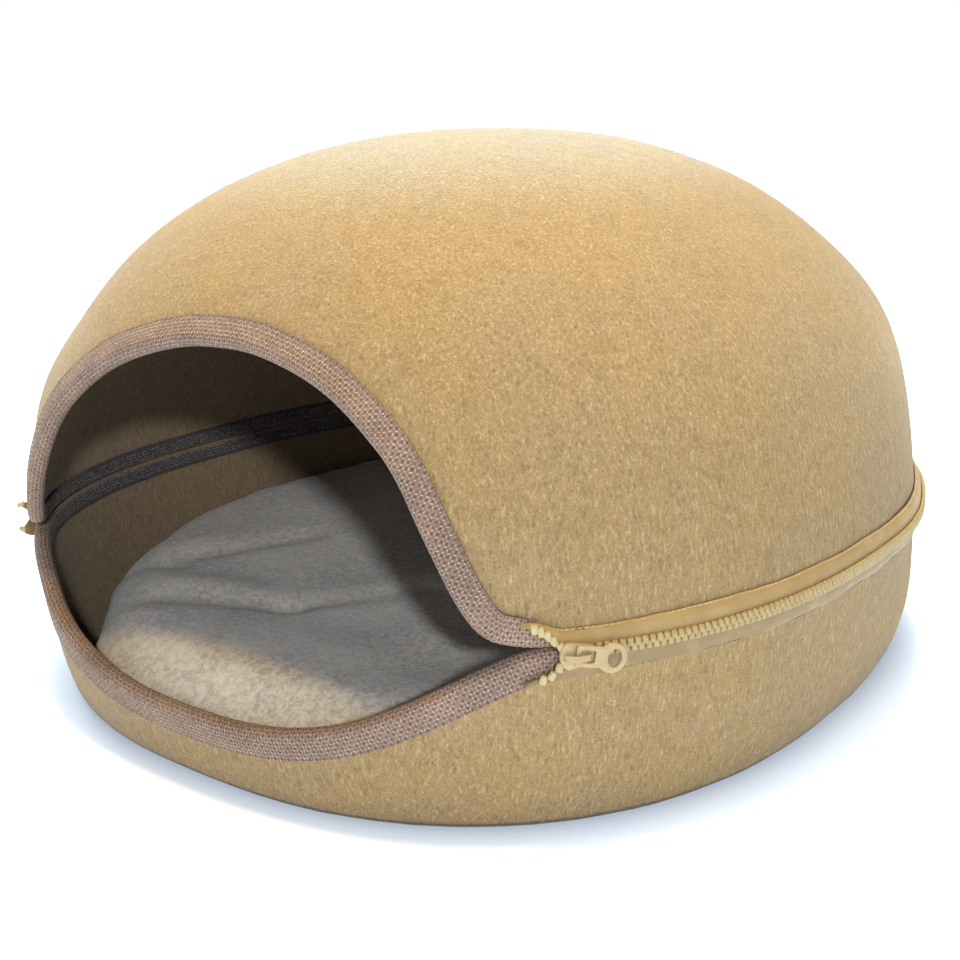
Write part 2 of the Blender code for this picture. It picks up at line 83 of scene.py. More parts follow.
def wallRadius(bearing, z):
    waist, top = form["waist"], form["top"]
    high = np.clip((z - waist) / (top - waist), 0, 1)
    low = np.clip((waist - z) / waist, 0, 1)
    dome = (1 - high ** form["risePower"]) ** (1 / form["reachPower"])
    bowl = (1 - low ** form["bowlPower"]) ** (1 / form["bowlPower"])
    share = np.where(z >= waist, dome, form["footShare"] + (1 - form["footShare"]) * bowl)
    swell = 0.0
    for at, height, out, spread in swells:
        turn = np.radians(turnBetween(bearing, at)) * form["halfWidth"]
        swell = swell + out * np.exp(-(turn ** 2 + (z - height) ** 2) / spread ** 2)
    return planRadius(bearing) * share + swell * np.minimum(share * 2, 1)


def place(bearing, radius, z):
    angle = np.radians(bearing - 90)
    return np.stack(np.broadcast_arrays(radius * np.cos(angle), radius * np.sin(angle), z), axis=-1)


def wallPoint(bearing, z):
    return place(bearing, wallRadius(bearing, z), z)


def unit(vectors):
    return vectors / np.maximum(np.linalg.norm(vectors, axis=-1, keepdims=True), 1e-12)


def wallNormal(bearing, z):
    turn, rise = 0.05, 0.0002      # small steps either way
    aside = wallPoint(bearing + turn, z) - wallPoint(bearing - turn, z)
    above, below = np.minimum(z + rise, form["top"]), np.maximum(z - rise, 0)
    return unit(np.cross(aside, wallPoint(bearing, above) - wallPoint(bearing, below)))


def skin(bearing, z, depth):
    # a point at a depth inside the felt's outer face; a negative depth stands out from it
    return wallPoint(bearing, z) - wallNormal(bearing, z) * np.asarray(depth)[..., None]


def openingShare(bearing):
    share = turnBetween(bearing, 0) / form["cornerBearing"]
    return np.where(np.abs(share) >= 1, 1.0, np.abs(share - form["skew"] * (1 - share * share)))


def archHeight(share):
    # a smooth curve through the outline's rows
    xs, ys = (np.array(column) for column in zip(*archOutline))
    slopes = np.zeros(len(xs))
    slopes[1:-1] = (ys[2:] - ys[:-2]) / (xs[2:] - xs[:-2])
    i = np.clip(np.searchsorted(xs, share) - 1, 0, len(xs) - 2)
    span = xs[i + 1] - xs[i]
    t = np.clip((share - xs[i]) / span, 0, 1)
    return (
        ys[i] * (1 + 2 * t) * (1 - t) ** 2 + slopes[i] * span * t * (1 - t) ** 2
        + ys[i + 1] * t * t * (3 - 2 * t) + slopes[i + 1] * span * t * t * (t - 1)
    )


foldReach = 0.0020      # how far a binding's fold stands past the felt's edge


def domeEdge(bearing):
    rise = form["archRise"] * archHeight(openingShare(bearing))
    return form["waist"] + rise + foldReach + form["clearance"] / 2


def bowlEdge(bearing):
    inner, outer = form["dipPowers"]
    fall = form["dipFall"] * (1 - openingShare(bearing) ** inner) ** outer
    return form["waist"] - fall - foldReach - form["clearance"] / 2


def waistLine(bearing):
    return form["waist"] + 0 * bearing


def bearingOf(spots):
    return np.degrees(np.arctan2(spots[:, 1], spots[:, 0])) + 90


def onEdge(edge, bearing):
    return wallPoint(bearing, edge(bearing))


def tangentOf(edge, bearings, step):
    return unit(onEdge(edge, bearings + step) - onEdge(edge, bearings - step))


def runAlong(edge, bearings):
    # how far each bearing lies along an edge from the first
    steps = np.diff(onEdge(edge, bearings), axis=0)
    return np.concatenate([[0], np.cumsum(np.linalg.norm(steps, axis=1))])


def evenBearings(edge, first, last, steps):
    turns = np.linspace(first, last, 2001)
    run = runAlong(edge, turns)
    return np.interp(np.linspace(0, run[-1], steps, endpoint=False), run, turns)


def pitchedBearings(edge, first, last, pitch, short=0):
    turns = np.linspace(first, last, 4001)
    run = runAlong(edge, turns)
    return np.interp(np.arange(0, run[-1] - short, pitch), run, turns)


def edgeBearings(edge, openSteps, waistSteps):
    corner = form["cornerBearing"]
    opening = evenBearings(edge, -corner, corner, openSteps)
    return np.concatenate([opening, evenBearings(waistLine, corner, 360 - corner, waistSteps)])


def bentGrid(name, columns, rows, shape, material):
    # a flat grid is bent by shape(column, row), which gives the points and their UVs;
    # where its sides meet they are merged
    bm = bmesh.new()
    bmesh.ops.create_grid(bm, x_segments=columns, y_segments=rows, size=0.5)
    flat = np.array([vert.co[:2] for vert in bm.verts]) + 0.5
    points, cloth = shape(np.rint(flat[:, 0] * columns), np.rint(flat[:, 1] * rows))
    layer = bm.loops.layers.uv.new("cloth")
    for vert, point in zip(bm.verts, points):
        vert.co = point
    for face in bm.faces:
        for loop in face.loops:
            loop[layer].uv = cloth[loop.vert.index]
    bmesh.ops.remove_doubles(bm, verts=bm.verts, dist=1e-6)
    return finishPiece(name, bm, material)


def addObject(name, data):
    made = bpy.data.objects.new(name, data)
    bpy.context.scene.collection.objects.link(made)
    return made


def meshFrom(name, bm, material):
    mesh = bpy.data.meshes.new(name)
    bm.to_mesh(mesh)
    bm.free()
    mesh.materials.append(material)
    return mesh


def finishPiece(name, bm, material, sharp=60):
    mesh = meshFrom(name, bm, material)
    mesh.shade_smooth()
    mesh.set_sharp_from_angle(angle=radians(sharp))
    piece = addObject(name, mesh)
    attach(piece, "root")
    return piece


def closeUp(piece):
    # open ends are filled, and every face is turned outwards
    bm = bmesh.new()
    bm.from_mesh(piece.data)
    bmesh.ops.holes_fill(bm, edges=[edge for edge in bm.edges if edge.is_boundary])
    bmesh.ops.recalc_face_normals(bm, faces=bm.faces)
    bm.to_mesh(piece.data)
    bm.free()


# Materials: the node helpers, then one short function for each finish

def feed(socket, value):
    if isinstance(value, bpy.types.NodeSocket):
        socket.id_data.links.new(value, socket)
    else:
        socket.default_value = value


def addNode(tree, kind, inputs=None, **settings):
    made = tree.nodes.new(kind)
    for key, value in settings.items():
        setattr(made, key, value)
    for key, value in (inputs or {}).items():
        feed(made.inputs[key], value)
    return made


def newMaterial(name, sockets):
    made = bpy.data.materials.new(name)
    made.use_nodes = True
    shader = made.node_tree.nodes["Principled BSDF"]
    for key, value in sockets.items():
        shader.inputs[key].default_value = value
    return made, shader


def finishLook(shader, colour, height, distance, strength):
    bump = {"Height": height, "Distance": distance, "Strength": strength}
    feed(shader.inputs["Base Color"], colour)
    feed(shader.inputs["Normal"], addNode(shader.id_data, "ShaderNodeBump", bump).outputs["Normal"])


def coordsOf(shader):
    return addNode(shader.id_data, "ShaderNodeTexCoord").outputs


def splitUp(vector):
    return addNode(vector.id_data, "ShaderNodeSeparateXYZ", {"Vector": vector}).outputs


def noiseAt(coords, scale, detail=3.0, roughness=0.55, distortion=0.0, kind="FBM"):
    inputs = {"Vector": coords, "Scale": scale, "Detail": detail, "Roughness": roughness,
              "Distortion": distortion}
    return addNode(coords.id_data, "ShaderNodeTexNoise", inputs, noise_type=kind).outputs["Fac"]


def stretched(coords, scale, turn):
    inputs = {"Vector": coords, "Scale": scale, "Rotation": turn}
    return addNode(coords.id_data, "ShaderNodeMapping", inputs).outputs["Vector"]


def ranged(value, low, high, outLow=0.0, outHigh=1.0):
    inputs = {"Value": value, "From Min": low, "From Max": high, "To Min": outLow, "To Max": outHigh}
    made = addNode(value.id_data, "ShaderNodeMapRange", inputs, interpolation_type="SMOOTHSTEP")
    return made.outputs["Result"]


def maths(operation, *values):
    inputs = dict(enumerate(values))
    return addNode(values[0].id_data, "ShaderNodeMath", inputs, operation=operation).outputs["Value"]


def times(*values):
    return maths("MULTIPLY", *values)


def mixColour(share, first, second):
    inputs = {"Factor": share, 6: first, 7: second}      # 6 and 7 are the two colours
    return addNode(share.id_data, "ShaderNodeMix", inputs, data_type="RGBA").outputs[2]


def tinted(colour, tint):
    inputs = {"Factor": 1.0, 6: colour, 7: tint}
    made = addNode(colour.id_data, "ShaderNodeMix", inputs, data_type="RGBA", blend_type="MULTIPLY")
    return made.outputs[2]


def layered(colour, layers):
    # each layer: a pattern, the range that it shows over, and the colour that it lays on
    for pattern, span, over in layers:
        colour = mixColour(ranged(pattern, *span), colour, over)
    return colour


feltLook = dict(
    base=(0.280, 0.190, 0.086, 1), pale=(0.450, 0.345, 0.205, 1), dark=(0.145, 0.098, 0.046, 1),
    # the inside tint makes the felt's inner face greyer and cooler: painted shade for the inside of the cave
    cloud=(0.266, 0.186, 0.098, 1), paintedFootShade=(0.085, 0.064, 0.046, 1), inside=(0.80, 0.83, 1.0, 1),
    # noise frequencies per metre
    clouds=22, blotches=120, grain=1150, fibre=760, stray=72,
    # the ragged dark band at the foot is painted shade, for the contact shadow where it stands on the floor
    bump=0.00042, ragged=0.0032, raggedness=500, footShadeSpan=(0.0019, 0.0002, 0, 0.88),
    # painted highlight: the top of the dome is tinted paler and creamier, for the light falling on it
    crown=(1.05, 1.33, 2.06, 1), crownFrom=(0.233, 0.271),
)


def feltMaterial(name, tint=None):
    look = feltLook
    made, shader = newMaterial(name, {
        "Roughness": 0.95, "Specular IOR Level": 0.12, "Sheen Weight": 0.18, "Sheen Roughness": 0.34,
        "Sheen Tint": (1.0, 0.97, 0.88, 1)})
    coords = coordsOf(shader)["Object"]
    upright = stretched(coords, (1, 1, 0.26), (0.12, -0.10, 0))
    sloping = stretched(coords, (1.0, 0.36, 1.0), (0.5, 0.35, 0.9))
    crossing = stretched(coords, (0.38, 1.0, 0.9), (-0.6, 0.3, 0.5))
    cloud = noiseAt(coords, look["clouds"], 4, 0.6)
    blotch = noiseAt(coords, look["blotches"], 4, 0.65)
    grain = noiseAt(coords, look["grain"], 4, 0.62)
    streak = noiseAt(upright, look["fibre"], 5, 0.62)
    hairs = noiseAt(sloping, look["fibre"], 3, 0.5, 1.6, "RIDGED_MULTIFRACTAL")
    darkHairs = noiseAt(crossing, look["fibre"], 3, 0.5, 1.4, "RIDGED_MULTIFRACTAL")
    colour = layered(look["base"], [
        (cloud, (0.32, 0.68), look["cloud"]),
        (blotch, (0.40, 0.70, 0, 0.28), look["dark"]),
        (grain, (0.48, 0.30, 0, 0.50), look["dark"]),
        (streak, (0.47, 0.32, 0, 0.62), look["dark"]),
        (grain, (0.52, 0.70, 0, 0.45), look["pale"]),
        (streak, (0.53, 0.70, 0, 0.58), look["pale"]),
        (hairs, (0.70, 1.0, 0, 0.55), look["pale"]),
        (darkHairs, (0.74, 1.0, 0, 0.45), look["dark"]),
    ])
    # long stray fibres curl over the rest, here and there: the lines where a slow noise is halfway
    wandering = noiseAt(coords, look["stray"], 1, 0.4, 0.9)
    strays = maths("ABSOLUTE", maths("SUBTRACT", wandering, 0.5))
    here = ranged(blotch, 0.48, 0.58, 0, 0.32)
    shown = times(ranged(strays, 0.011, 0.003), here)
    colour = mixColour(shown, colour, look["pale"])
    # painted highlight: the top of the dome is paler, for the light on it; painted shade: a ragged dark band
    # round the foot, for the contact shadow where it stands
    height = splitUp(coords)["Z"]
    colour = mixColour(ranged(height, *look["crownFrom"]), colour, tinted(colour, look["crown"]))
    rough = noiseAt(coords, look["raggedness"], 3, 0.7)
    ragged = maths("MULTIPLY_ADD", rough, -look["ragged"], height)
    colour = mixColour(ranged(ragged, *look["footShadeSpan"]), colour, look["paintedFootShade"])
    if tint:
        colour = tinted(colour, tint)
    relief = maths("MULTIPLY_ADD", hairs, 0.35, maths("ADD", grain, streak))
    finishLook(shader, colour, relief, look["bump"], 0.8)
    return made


weave = dict(
    cell=0.0036, across=0.0036, sink=0.00026, jitter=0.0015,
    # the pale colour is painted highlight on the tops of the threads
    thread=(0.220, 0.145, 0.104, 1), shade=(0.140, 0.093, 0.074, 1), pale=(0.600, 0.470, 0.370, 1),
    # painted shade: the colour laid in the hollows between the threads
    hollow=(0.045, 0.034, 0.038, 1),
    # the leg inside the cave: a much darker colour as painted shade, and pale flecks on it as painted
    # highlight
    inside=(0.042, 0.038, 0.043, 1), insideHighlight=(0.640, 0.600, 0.610, 1),
    selvedge=0.0108, selvedgeColour=(0.062, 0.056, 0.062, 1), insideShadeFrom=(0.0022, 0.0056),
    wander=(170, 230), fibre=1100, luck=380, patch=55, bump=0.00034,
)


def weaveHeight(along, across):
    # the crossing threads of the braid: 1 on a thread, 0 in the hollow between four of them
    first = along / weave["cell"] + across / weave["across"]
    second = along / weave["cell"] - across / weave["across"]
    hollow = np.abs(np.sin(pi * first) * np.sin(pi * second))
    return 1 - hollow ** 1.2


def bindingMaterial():
    made, shader = newMaterial("wovenBinding", {
        "Roughness": 0.78, "Specular IOR Level": 0.25, "Sheen Weight": 0.12, "Sheen Roughness": 0.4,
        "Sheen Tint": (1.0, 0.85, 0.72, 1)})
    coords = coordsOf(shader)
    (far, fromFold), space = splitUp(coords["UV"])[:2], coords["Object"]
    # hand-fed braid is never quite even: the cells wander a little
    jitter, cells = weave["jitter"], []
    for place, often, size in zip((far, fromFold), weave["wander"], (weave["cell"], weave["across"])):
        wander = maths("MULTIPLY_ADD", noiseAt(space, often, 2), jitter, -jitter / 2)
        cells.append(maths("DIVIDE", maths("ADD", place, wander), size))
    slants = [times(maths(kind, *cells), pi) for kind in ("ADD", "SUBTRACT")]
    sines = [maths("ABSOLUTE", maths("SINE", slant)) for slant in slants]
    hollow = times(*sines)
    # painted highlight: a thread is coloured lightest halfway between two crossings, where it lies on top and
    # catches the light
    halfway = [
        times(ranged(sines[k], 0.55, 0.05), ranged(sines[1 - k], 0.50, 0.98))
        for k in (0, 1)
    ]
    fibre = noiseAt(space, weave["fibre"], 3, 0.6)
    luck = noiseAt(space, weave["luck"], 2, 0.6)
    patch = noiseAt(space, weave["patch"], 3, 0.6)
    fleck = maths("ADD", halfway[0], times(halfway[1], 0.75))
    fleck = times(fleck, ranged(luck, 0.35, 0.57, 0.15, 1.0))
    fleck = times(fleck, ranged(fibre, 0.3, 0.6, 0.6, 1.0))
    # the hollows between the threads: darkened in colour below as painted shade, and sunk in the relief
    sunk = times(ranged(hollow, 0.66, 0.98), ranged(fibre, 0.35, 0.6, 1.0, 0.6))
    colour = layered(weave["thread"], [
        (patch, (0.35, 0.68, 0.0, 0.75), weave["shade"]),
        (fibre, (0.52, 0.36, 0, 0.55), weave["shade"]),
    ])
    colour = mixColour(times(sunk, 0.75), colour, weave["hollow"])
    # painted highlight on the thread tops
    lit = times(fleck, 0.85)
    colour = mixColour(lit, colour, weave["pale"])
    # painted shade: the leg inside the cave is the same tape coloured much darker, for the shade inside, with
    # painted highlights on its threads; its selvedge is plain
    paintedShadeLeg = mixColour(lit, weave["inside"], weave["insideHighlight"])
    plain = (weave["selvedge"] - 0.0003, weave["selvedge"])
    paintedShadeLeg = layered(paintedShadeLeg, [(fromFold, plain, weave["selvedgeColour"])])
    colour = layered(colour, [(fromFold, weave["insideShadeFrom"], paintedShadeLeg)])
    height = maths("SUBTRACT", maths("MULTIPLY_ADD", fibre, 0.35, fleck), sunk)
    finishLook(shader, colour, height, weave["bump"], 0.9)
    return made


tapeLook = dict(
    # the pale tone is painted highlight along the upper tape's top edge, and the cloth's uneven tone in
    # patches
    edge=(0.500, 0.365, 0.165, 1), paintedGrooveShade=(0.20, 0.13, 0.055, 1), ribWidth=0.0007, patch=90,
    edgeHighlightFrom=(0.0093, 0.0100), bump=0.00012,
)


def tapeMaterial(name, base, rim):
    look = tapeLook
    made, shader = newMaterial(name, {
        "Roughness": 0.62, "Specular IOR Level": 0.35, "Sheen Weight": 0.2, "Sheen Roughness": 0.3,
        "Sheen Tint": (1.0, 0.86, 0.6, 1)})
    coords = coordsOf(shader)
    far, up = splitUp(coords["UV"])[:2]
    ribs = [maths("SINE", times(place, 2 * pi / look["ribWidth"])) for place in (far, up)]
    rib = maths("MULTIPLY_ADD", times(*ribs), 0.5, 0.5)
    patch = noiseAt(coords["Object"], look["patch"], 4, 0.6)
    colour = layered(base, [
        # painted highlight along the top edge, as strong as the last argument asks
        (up, (*look["edgeHighlightFrom"], 0, rim), look["edge"]),
        # painted shade: the grooves between the ribs are coloured darker
        (rib, (0.2, 0.9, 0.16, 0.0), look["paintedGrooveShade"]),
        (patch, (0.4, 0.7, 0.0, 0.18), look["edge"]),
    ])
    finishLook(shader, colour, rib, look["bump"], 0.7)
    return made


def mouldedMaterial(name, base, edge, rough):
    made, shader = newMaterial(name, {
        "Specular IOR Level": 0.5, "Subsurface Weight": 0.12, "Subsurface Scale": 0.002})
    coords = coordsOf(shader)["Object"]
    patch = noiseAt(coords, 300, 4, 0.6)
    fine = noiseAt(coords, 2200, 2)
    colour = mixColour(ranged(patch, 0.35, 0.7), base, edge)
    feed(shader.inputs["Roughness"], ranged(patch, 0.3, 0.7, rough, rough + 0.14))
    finishLook(shader, colour, fine, 0.00004, 0.5)
    return made


def threadMaterial(name, base, dark):
    made, shader = newMaterial(name, {"Roughness": 0.7, "Sheen Weight": 0.2})
    twist = noiseAt(coordsOf(shader)["Object"], 1600, 2)
    finishLook(shader, mixColour(ranged(twist, 0.35, 0.65), dark, base), twist, 0.0001, 0.6)
    return made


plushLook = dict(
    base=(0.500, 0.478, 0.440, 1), tip=(0.66, 0.635, 0.59, 1), root=(0.33, 0.31, 0.285, 1),
    tufts=300, fibre=950, nap=22, bump=0.00045,
)


def plushMaterial():
    look = plushLook
    made, shader = newMaterial("plush", {
        "Roughness": 1.0, "Specular IOR Level": 0.05, "Sheen Weight": 0.2, "Sheen Roughness": 0.6,
        "Sheen Tint": (0.95, 0.95, 1.0, 1)})
    coords = coordsOf(shader)["Object"]
    tufts = noiseAt(coords, look["tufts"], 4, 0.6, 0.6)
    fibre = noiseAt(stretched(coords, (1, 0.6, 1), (0, 0, 0.7)), look["fibre"], 4, 0.65)
    nap = noiseAt(coords, look["nap"], 3, 0.5, 0.8)
    colour = layered(look["root"], [
        (tufts, (0.36, 0.62), look["base"]),
        (fibre, (0.48, 0.70, 0, 0.55), look["tip"]),
        (fibre, (0.50, 0.30, 0, 0.40), look["root"]),
        (nap, (0.4, 0.65, 0.0, 0.30), look["tip"]),
    ])
    finishLook(shader, colour, maths("MULTIPLY_ADD", fibre, 0.8, tufts), look["bump"], 0.7)
    return made


felt = feltMaterial("feltOutside")
# the inner face is the same felt, tinted greyer and cooler as painted shade for the inside of the cave
shadedFeltInside = feltMaterial("shadedFeltInside", feltLook["inside"])
binding = bindingMaterial()
# the upper tape's last argument lays a painted highlight along its top edge; the lower tape has none
upperTapeCloth = tapeMaterial("upperZipTape", (0.300, 0.200, 0.078, 1), 0.50)
# painted shade: the lower tape is the same cloth as the upper, coloured darker for the shade it lies in
shadedLowerTapeCloth = tapeMaterial("shadedLowerZipTape", (0.208, 0.144, 0.071, 1), 0.0)
teethPlastic = mouldedMaterial("mouldedTeeth", (0.285, 0.208, 0.084, 1), (0.338, 0.257, 0.108, 1), 0.42)
beadPlastic = mouldedMaterial("mouldedBeads", (0.345, 0.280, 0.130, 1), (0.405, 0.335, 0.170, 1), 0.42)
sliderPaint = mouldedMaterial("enamelledSlider", (0.330, 0.238, 0.113, 1), (0.372, 0.276, 0.136, 1), 0.28)
bindingThread = threadMaterial("bindingThread", (0.22, 0.16, 0.14, 1), (0.10, 0.075, 0.08, 1))
upperTapeThread = threadMaterial("upperTapeThread", (0.62, 0.47, 0.23, 1), (0.40, 0.27, 0.11, 1))
# painted shade: the lower tape's thread is coloured dark for the shade it lies in
shadedLowerTapeThread = threadMaterial("shadedLowerTapeThread", (0.20, 0.14, 0.070, 1), (0.12, 0.085, 0.045, 1))
plush = plushMaterial()
print("materials made")


# Felt dome and bowl

shellFineness = dict(openSteps=150, waistSteps=250, domeRows=86, bowlRows=44, floorRows=22, crowding=1.15)
handWork = [(24, 0.00045), (95, 0.00016)]     # the lumps of hand moulding: frequency per metre, height
clothRadius = 0.2       # metres of UV to a radian of bearing


def lumpsAt(spots, sizes, shift=0):
    # noise of several sizes: frequency per metre, height
    lift = np.zeros(len(spots))
    for often, high in sizes:
        aside = Vector((often * shift, 0, 0))
        lift += [noise.noise(Vector(spot) * often + aside) * high for spot in spots]
    return lift


def feltWall(bearing, z):
    points = wallPoint(bearing, z)
    return points + wallNormal(bearing, z) * lumpsAt(points, handWork)[:, None]


def riseAt(edgeShare, power, along):
    # the share of the way from the waist to the pole; the rows are crowded near the edge
    start = np.arcsin(edgeShare ** (power / 2))
    angle = start + (pi / 2 - start) * along ** shellFineness["crowding"]
    return np.sin(angle) ** (2 / power)


def domeWall(bearing, row):
    waist, height = form["waist"], form["top"] - form["waist"]
    share = (domeEdge(bearing) - waist) / height
    z = waist + height * riseAt(share, form["risePower"], row / shellFineness["domeRows"])
    return feltWall(bearing, z), z


def bowlWall(bearing, row):
    waist, floorRows = form["waist"], shellFineness["floorRows"]
    up = np.clip((row - floorRows) / shellFineness["bowlRows"], 0, 1)
    z = waist * (1 - riseAt((waist - bowlEdge(bearing)) / waist, form["bowlPower"], 1 - up))
    wall = feltWall(bearing, z)
    wall[:, 2] = np.where(row <= floorRows, 0, np.maximum(wall[:, 2], 0))
    reach = planRadius(bearing) * form["footShare"] * (row / floorRows)
    return np.where((row < floorRows)[:, None], place(bearing, reach, 0 * z), wall), z


def makeShell(name, edge, rows, wallAt):
    bearings = edgeBearings(edge, shellFineness["openSteps"], shellFineness["waistSteps"])

    def shape(column, row):
        bearing = bearings[column.astype(int) % len(bearings)]
        wall, z = wallAt(bearing, row)
        return wall, np.stack([np.radians(bearing) * clothRadius, z], axis=-1)

    piece = bentGrid(name, len(bearings), rows, shape, felt)
    piece.data.materials.append(shadedFeltInside)
    wall = piece.modifiers.new("thickness", "SOLIDIFY")
    wall.thickness = form["felt"]
    wall.offset = -1
    wall.use_even_offset = True
    wall.material_offset = 1
    return piece


domeFelt = makeShell("domeFelt", domeEdge, shellFineness["domeRows"], domeWall)
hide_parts("dome_felt")
bowlRows = shellFineness["floorRows"] + shellFineness["bowlRows"]
bowlFelt = makeShell("bowlFelt", bowlEdge, bowlRows, bowlWall)
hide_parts("bowl_felt")
print("felt shells made")


# Bindings folded over the two cut edges

tapeFold = dict(
    thickness=0.0013, roundFrom=0.0015, openLeg=0.0105, waistLeg=0.0052, innerLeg=0.0080,
    legChange=(40.2, 43.3), rows=36, bendAndInner=0.0205, hem=0.0003, hemPress=(0.45, 0.55),
    seam=0.0022, seamDepth=0.00035, seamWidth=0.0007, step=0.15,
    cellSteps=5,      # columns to a cell of the weave
)


def foldSection(share, leg):
    # place on the folded tape's outer face, its outward direction, and the distance from the fold
    stand = form["clearance"] + tapeFold["thickness"]
    middle, begin = form["felt"] / 2, tapeFold["roundFrom"]
    reach, half = foldReach + begin, middle + stand
    bend = pi * (reach + half) / 2
    outer, inner = leg - begin, tapeFold["innerLeg"] - begin
    run = share * (outer + bend + inner)
    angle = np.radians(90 - 180 * np.clip((run - outer) / bend, 0, 1))
    into = begin - reach * np.cos(angle) + np.maximum(outer - run, 0) + np.maximum(run - outer - bend, 0)
    depth = middle - half * np.sin(angle)
    toward = unit(np.stack([-np.cos(angle) / reach, -np.sin(angle) / half], axis=-1))
    return into, depth, toward, run - outer - bend / 2


def edgeFrames(edge, bearings, side):
    # points on a cut edge, the way along it, the way into the cloth, and the outer leg's length there
    fold = tapeFold
    tangent = tangentOf(edge, bearings, fold["step"])
    intoCloth = np.cross(wallNormal(bearings, edge(bearings)), tangent) * side
    narrow = smoothStep(*fold["legChange"], np.abs(turnBetween(bearings, 0)))
    legs = fold["openLeg"] + (fold["waistLeg"] - fold["openLeg"]) * narrow
    return onEdge(edge, bearings), tangent, intoCloth, legs


def makeBinding(name, edge, side, openShare):
    # columns fall on whole cells of the weave, so its threads are part of the mesh
    fold, corner, stand, inside = tapeFold, form["cornerBearing"], form["clearance"], form["felt"]
    length = runAlong(edge, np.linspace(-corner, 360 - corner, 4001))[-1]
    columns = round(length / weave["cell"]) * fold["cellSteps"]
    openSteps = round(columns * openShare)
    bearings = edgeBearings(edge, openSteps, columns - openSteps)
    foot, _, intoCloth, legs = edgeFrames(edge, bearings, side)
    rows, hem, press = fold["rows"], fold["hem"], fold["hemPress"]
    # the hidden face against the felt: how far into the cloth (past the outer leg's end, for the last
    # two), and the depth
    back = [
        (fold["innerLeg"] + hem, inside + stand + fold["thickness"] * press[0]),
        (fold["innerLeg"], inside + stand), (-stand, inside + stand), (-stand, -stand),
        (0, -stand), (hem, -stand - fold["thickness"] * press[1]),
    ]

    around = rows + 1 + len(back)

    def shape(column, row):
        row = row % around      # the last row meets the first
        i = column.astype(int) % len(bearings)
        leg, far = legs[i], column / fold["cellSteps"] * weave["cell"]
        into, depth, toward, across = foldSection(np.minimum(row / rows, 1), leg)
        sunk = (weaveHeight(far, across) - 1) * weave["sink"]
        toSeam = np.abs(row / rows * (leg + fold["bendAndInner"]) - fold["seam"])
        sunk = sunk - fold["seamDepth"] * np.exp(-(toSeam / fold["seamWidth"]) ** 2) * (row <= rows)
        for k, (backInto, backDepth) in enumerate(back):
            here = row == rows + 1 + k
            into = np.where(here, backInto + (leg if k > 3 else 0), into)
            depth = np.where(here, backDepth, depth)
            sunk = np.where(here, 0, sunk)
        into = into + toward[:, 0] * sunk
        depth = depth + toward[:, 1] * sunk
        spot = foot[i] + intoCloth[i] * into[:, None]
        return skin(bearingOf(spot), spot[:, 2], depth), np.stack([far, across], axis=-1)

    piece = bentGrid(name, columns, around, shape, binding)
    closeUp(piece)
    return piece, length


domeBinding, domeBindingLength = makeBinding("domeBinding", domeEdge, 1, 0.34)
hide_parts("dome_binding")
bowlBinding, bowlBindingLength = makeBinding("bowlBinding", bowlEdge, -1, 0.27)
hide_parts("bowl_binding")
print("bindings made", round(domeBindingLength, 3), round(bowlBindingLength, 3))


# Zip: two tapes, their teeth, the splayed ends at the slider and the tails at the far end

zipShape = dict(
    chainStart=47.2, chainStop=316.4, pitch=0.0031, columns=760, endColumns=36, splayedTo=45, tailFrom=315,
    section=[(0.00035, 0.0036), (0.0030, 0.00362), (0.0048, 0.0035), (0.0062, 0.0033), (0.0076, 0.0028),
             (0.0088, 0.0022), (0.0096, 0.0017), (0.0101, 0.0012), (0.0102, 0.0007)],
    back=[(0.0100, 0.0006), (0.0084, 0.0016), (0.0062, 0.0022), (0.00035, 0.0024)],
    puckers=[(0.0135, 0.00010), (0.047, 0.00022)],      # length, height
    puckerFrom=0.35, puckerUp=1.2, puckerOut=0.5, liftFrom=-0.4,      # shares of the way to the free edge
)
# where each tape runs: bearing, height from the waist; how far its free ends lift; and how far the
# toothed edge flares out beyond that at the far corner
tapeRuns = dict(
    upper=dict(
        outer=[(40.4, 0.0112), (40.9, 0.0116), (41.6, 0.0118), (42.2, 0.0112), (43.0, 0.0099), (43.6, 0.0088),
               (44.2, 0.0081), (51.7, 0.0084), (58, 0.0096), (66, 0.0092), (120, 0.0098), (316.4, 0.0094),
               (317.4, 0.0090), (318.2, 0.0086)],
        inner=[(40.4, 0.0109), (40.9, 0.0104), (41.6, 0.0099), (42.2, 0.0090), (42.9, 0.0066), (43.4, 0.0045),
               (43.8, 0.0030), (44.2, 0.00035), (316.4, 0.00035), (317.2, 0.0022), (318.2, 0.0060)],
        lift=[(40.4, 0.0017), (43.4, 0.0015), (44.6, 0), (316.2, 0), (317.0, 0.0014), (318.2, 0.0040)],
        flare=[(316.2, 0), (317.2, 0.0016), (318.2, 0.0036)],
    ),
    lower=dict(
        outer=[(40.4, 0.0126), (40.8, 0.0129), (41.6, 0.0138), (42.7, 0.0143), (43.6, 0.0132), (44.0, 0.0126),
               (47.8, 0.0116), (51.7, 0.0104), (58, 0.0101), (66, 0.0110), (120, 0.0102), (316.4, 0.0106),
               (317.4, 0.0106), (318.4, 0.0098)],
        inner=[(40.4, 0.0123), (41.2, 0.0113), (41.7, 0.0106), (42.2, 0.0104), (43.1, 0.0093),
               (43.85, 0.0070), (44.2, 0.0045), (44.7, 0.00035), (316.4, 0.00035), (317.2, 0.0012),
               (317.8, 0.0030), (318.4, 0.0056)],
        lift=[(40.4, 0.0017), (43.4, 0.0015), (44.8, 0), (316.2, 0), (317.0, 0.0012), (318.4, 0.0040)],
        flare=[(316.2, 0), (317.0, 0.0014), (317.8, 0.0030), (318.4, 0.0046)],
    ),
)


def valueAt(rows, bearing):
    return np.interp(bearing, *zip(*rows))


def levelNormal(bearing, z):
    return unit(wallNormal(bearing, z) * np.array([1, 1, 0]))


def zipPoint(bearing, up, out):
    z = form["waist"] + up
    return wallPoint(bearing, z) + levelNormal(bearing, z) * np.asarray(out)[..., None]


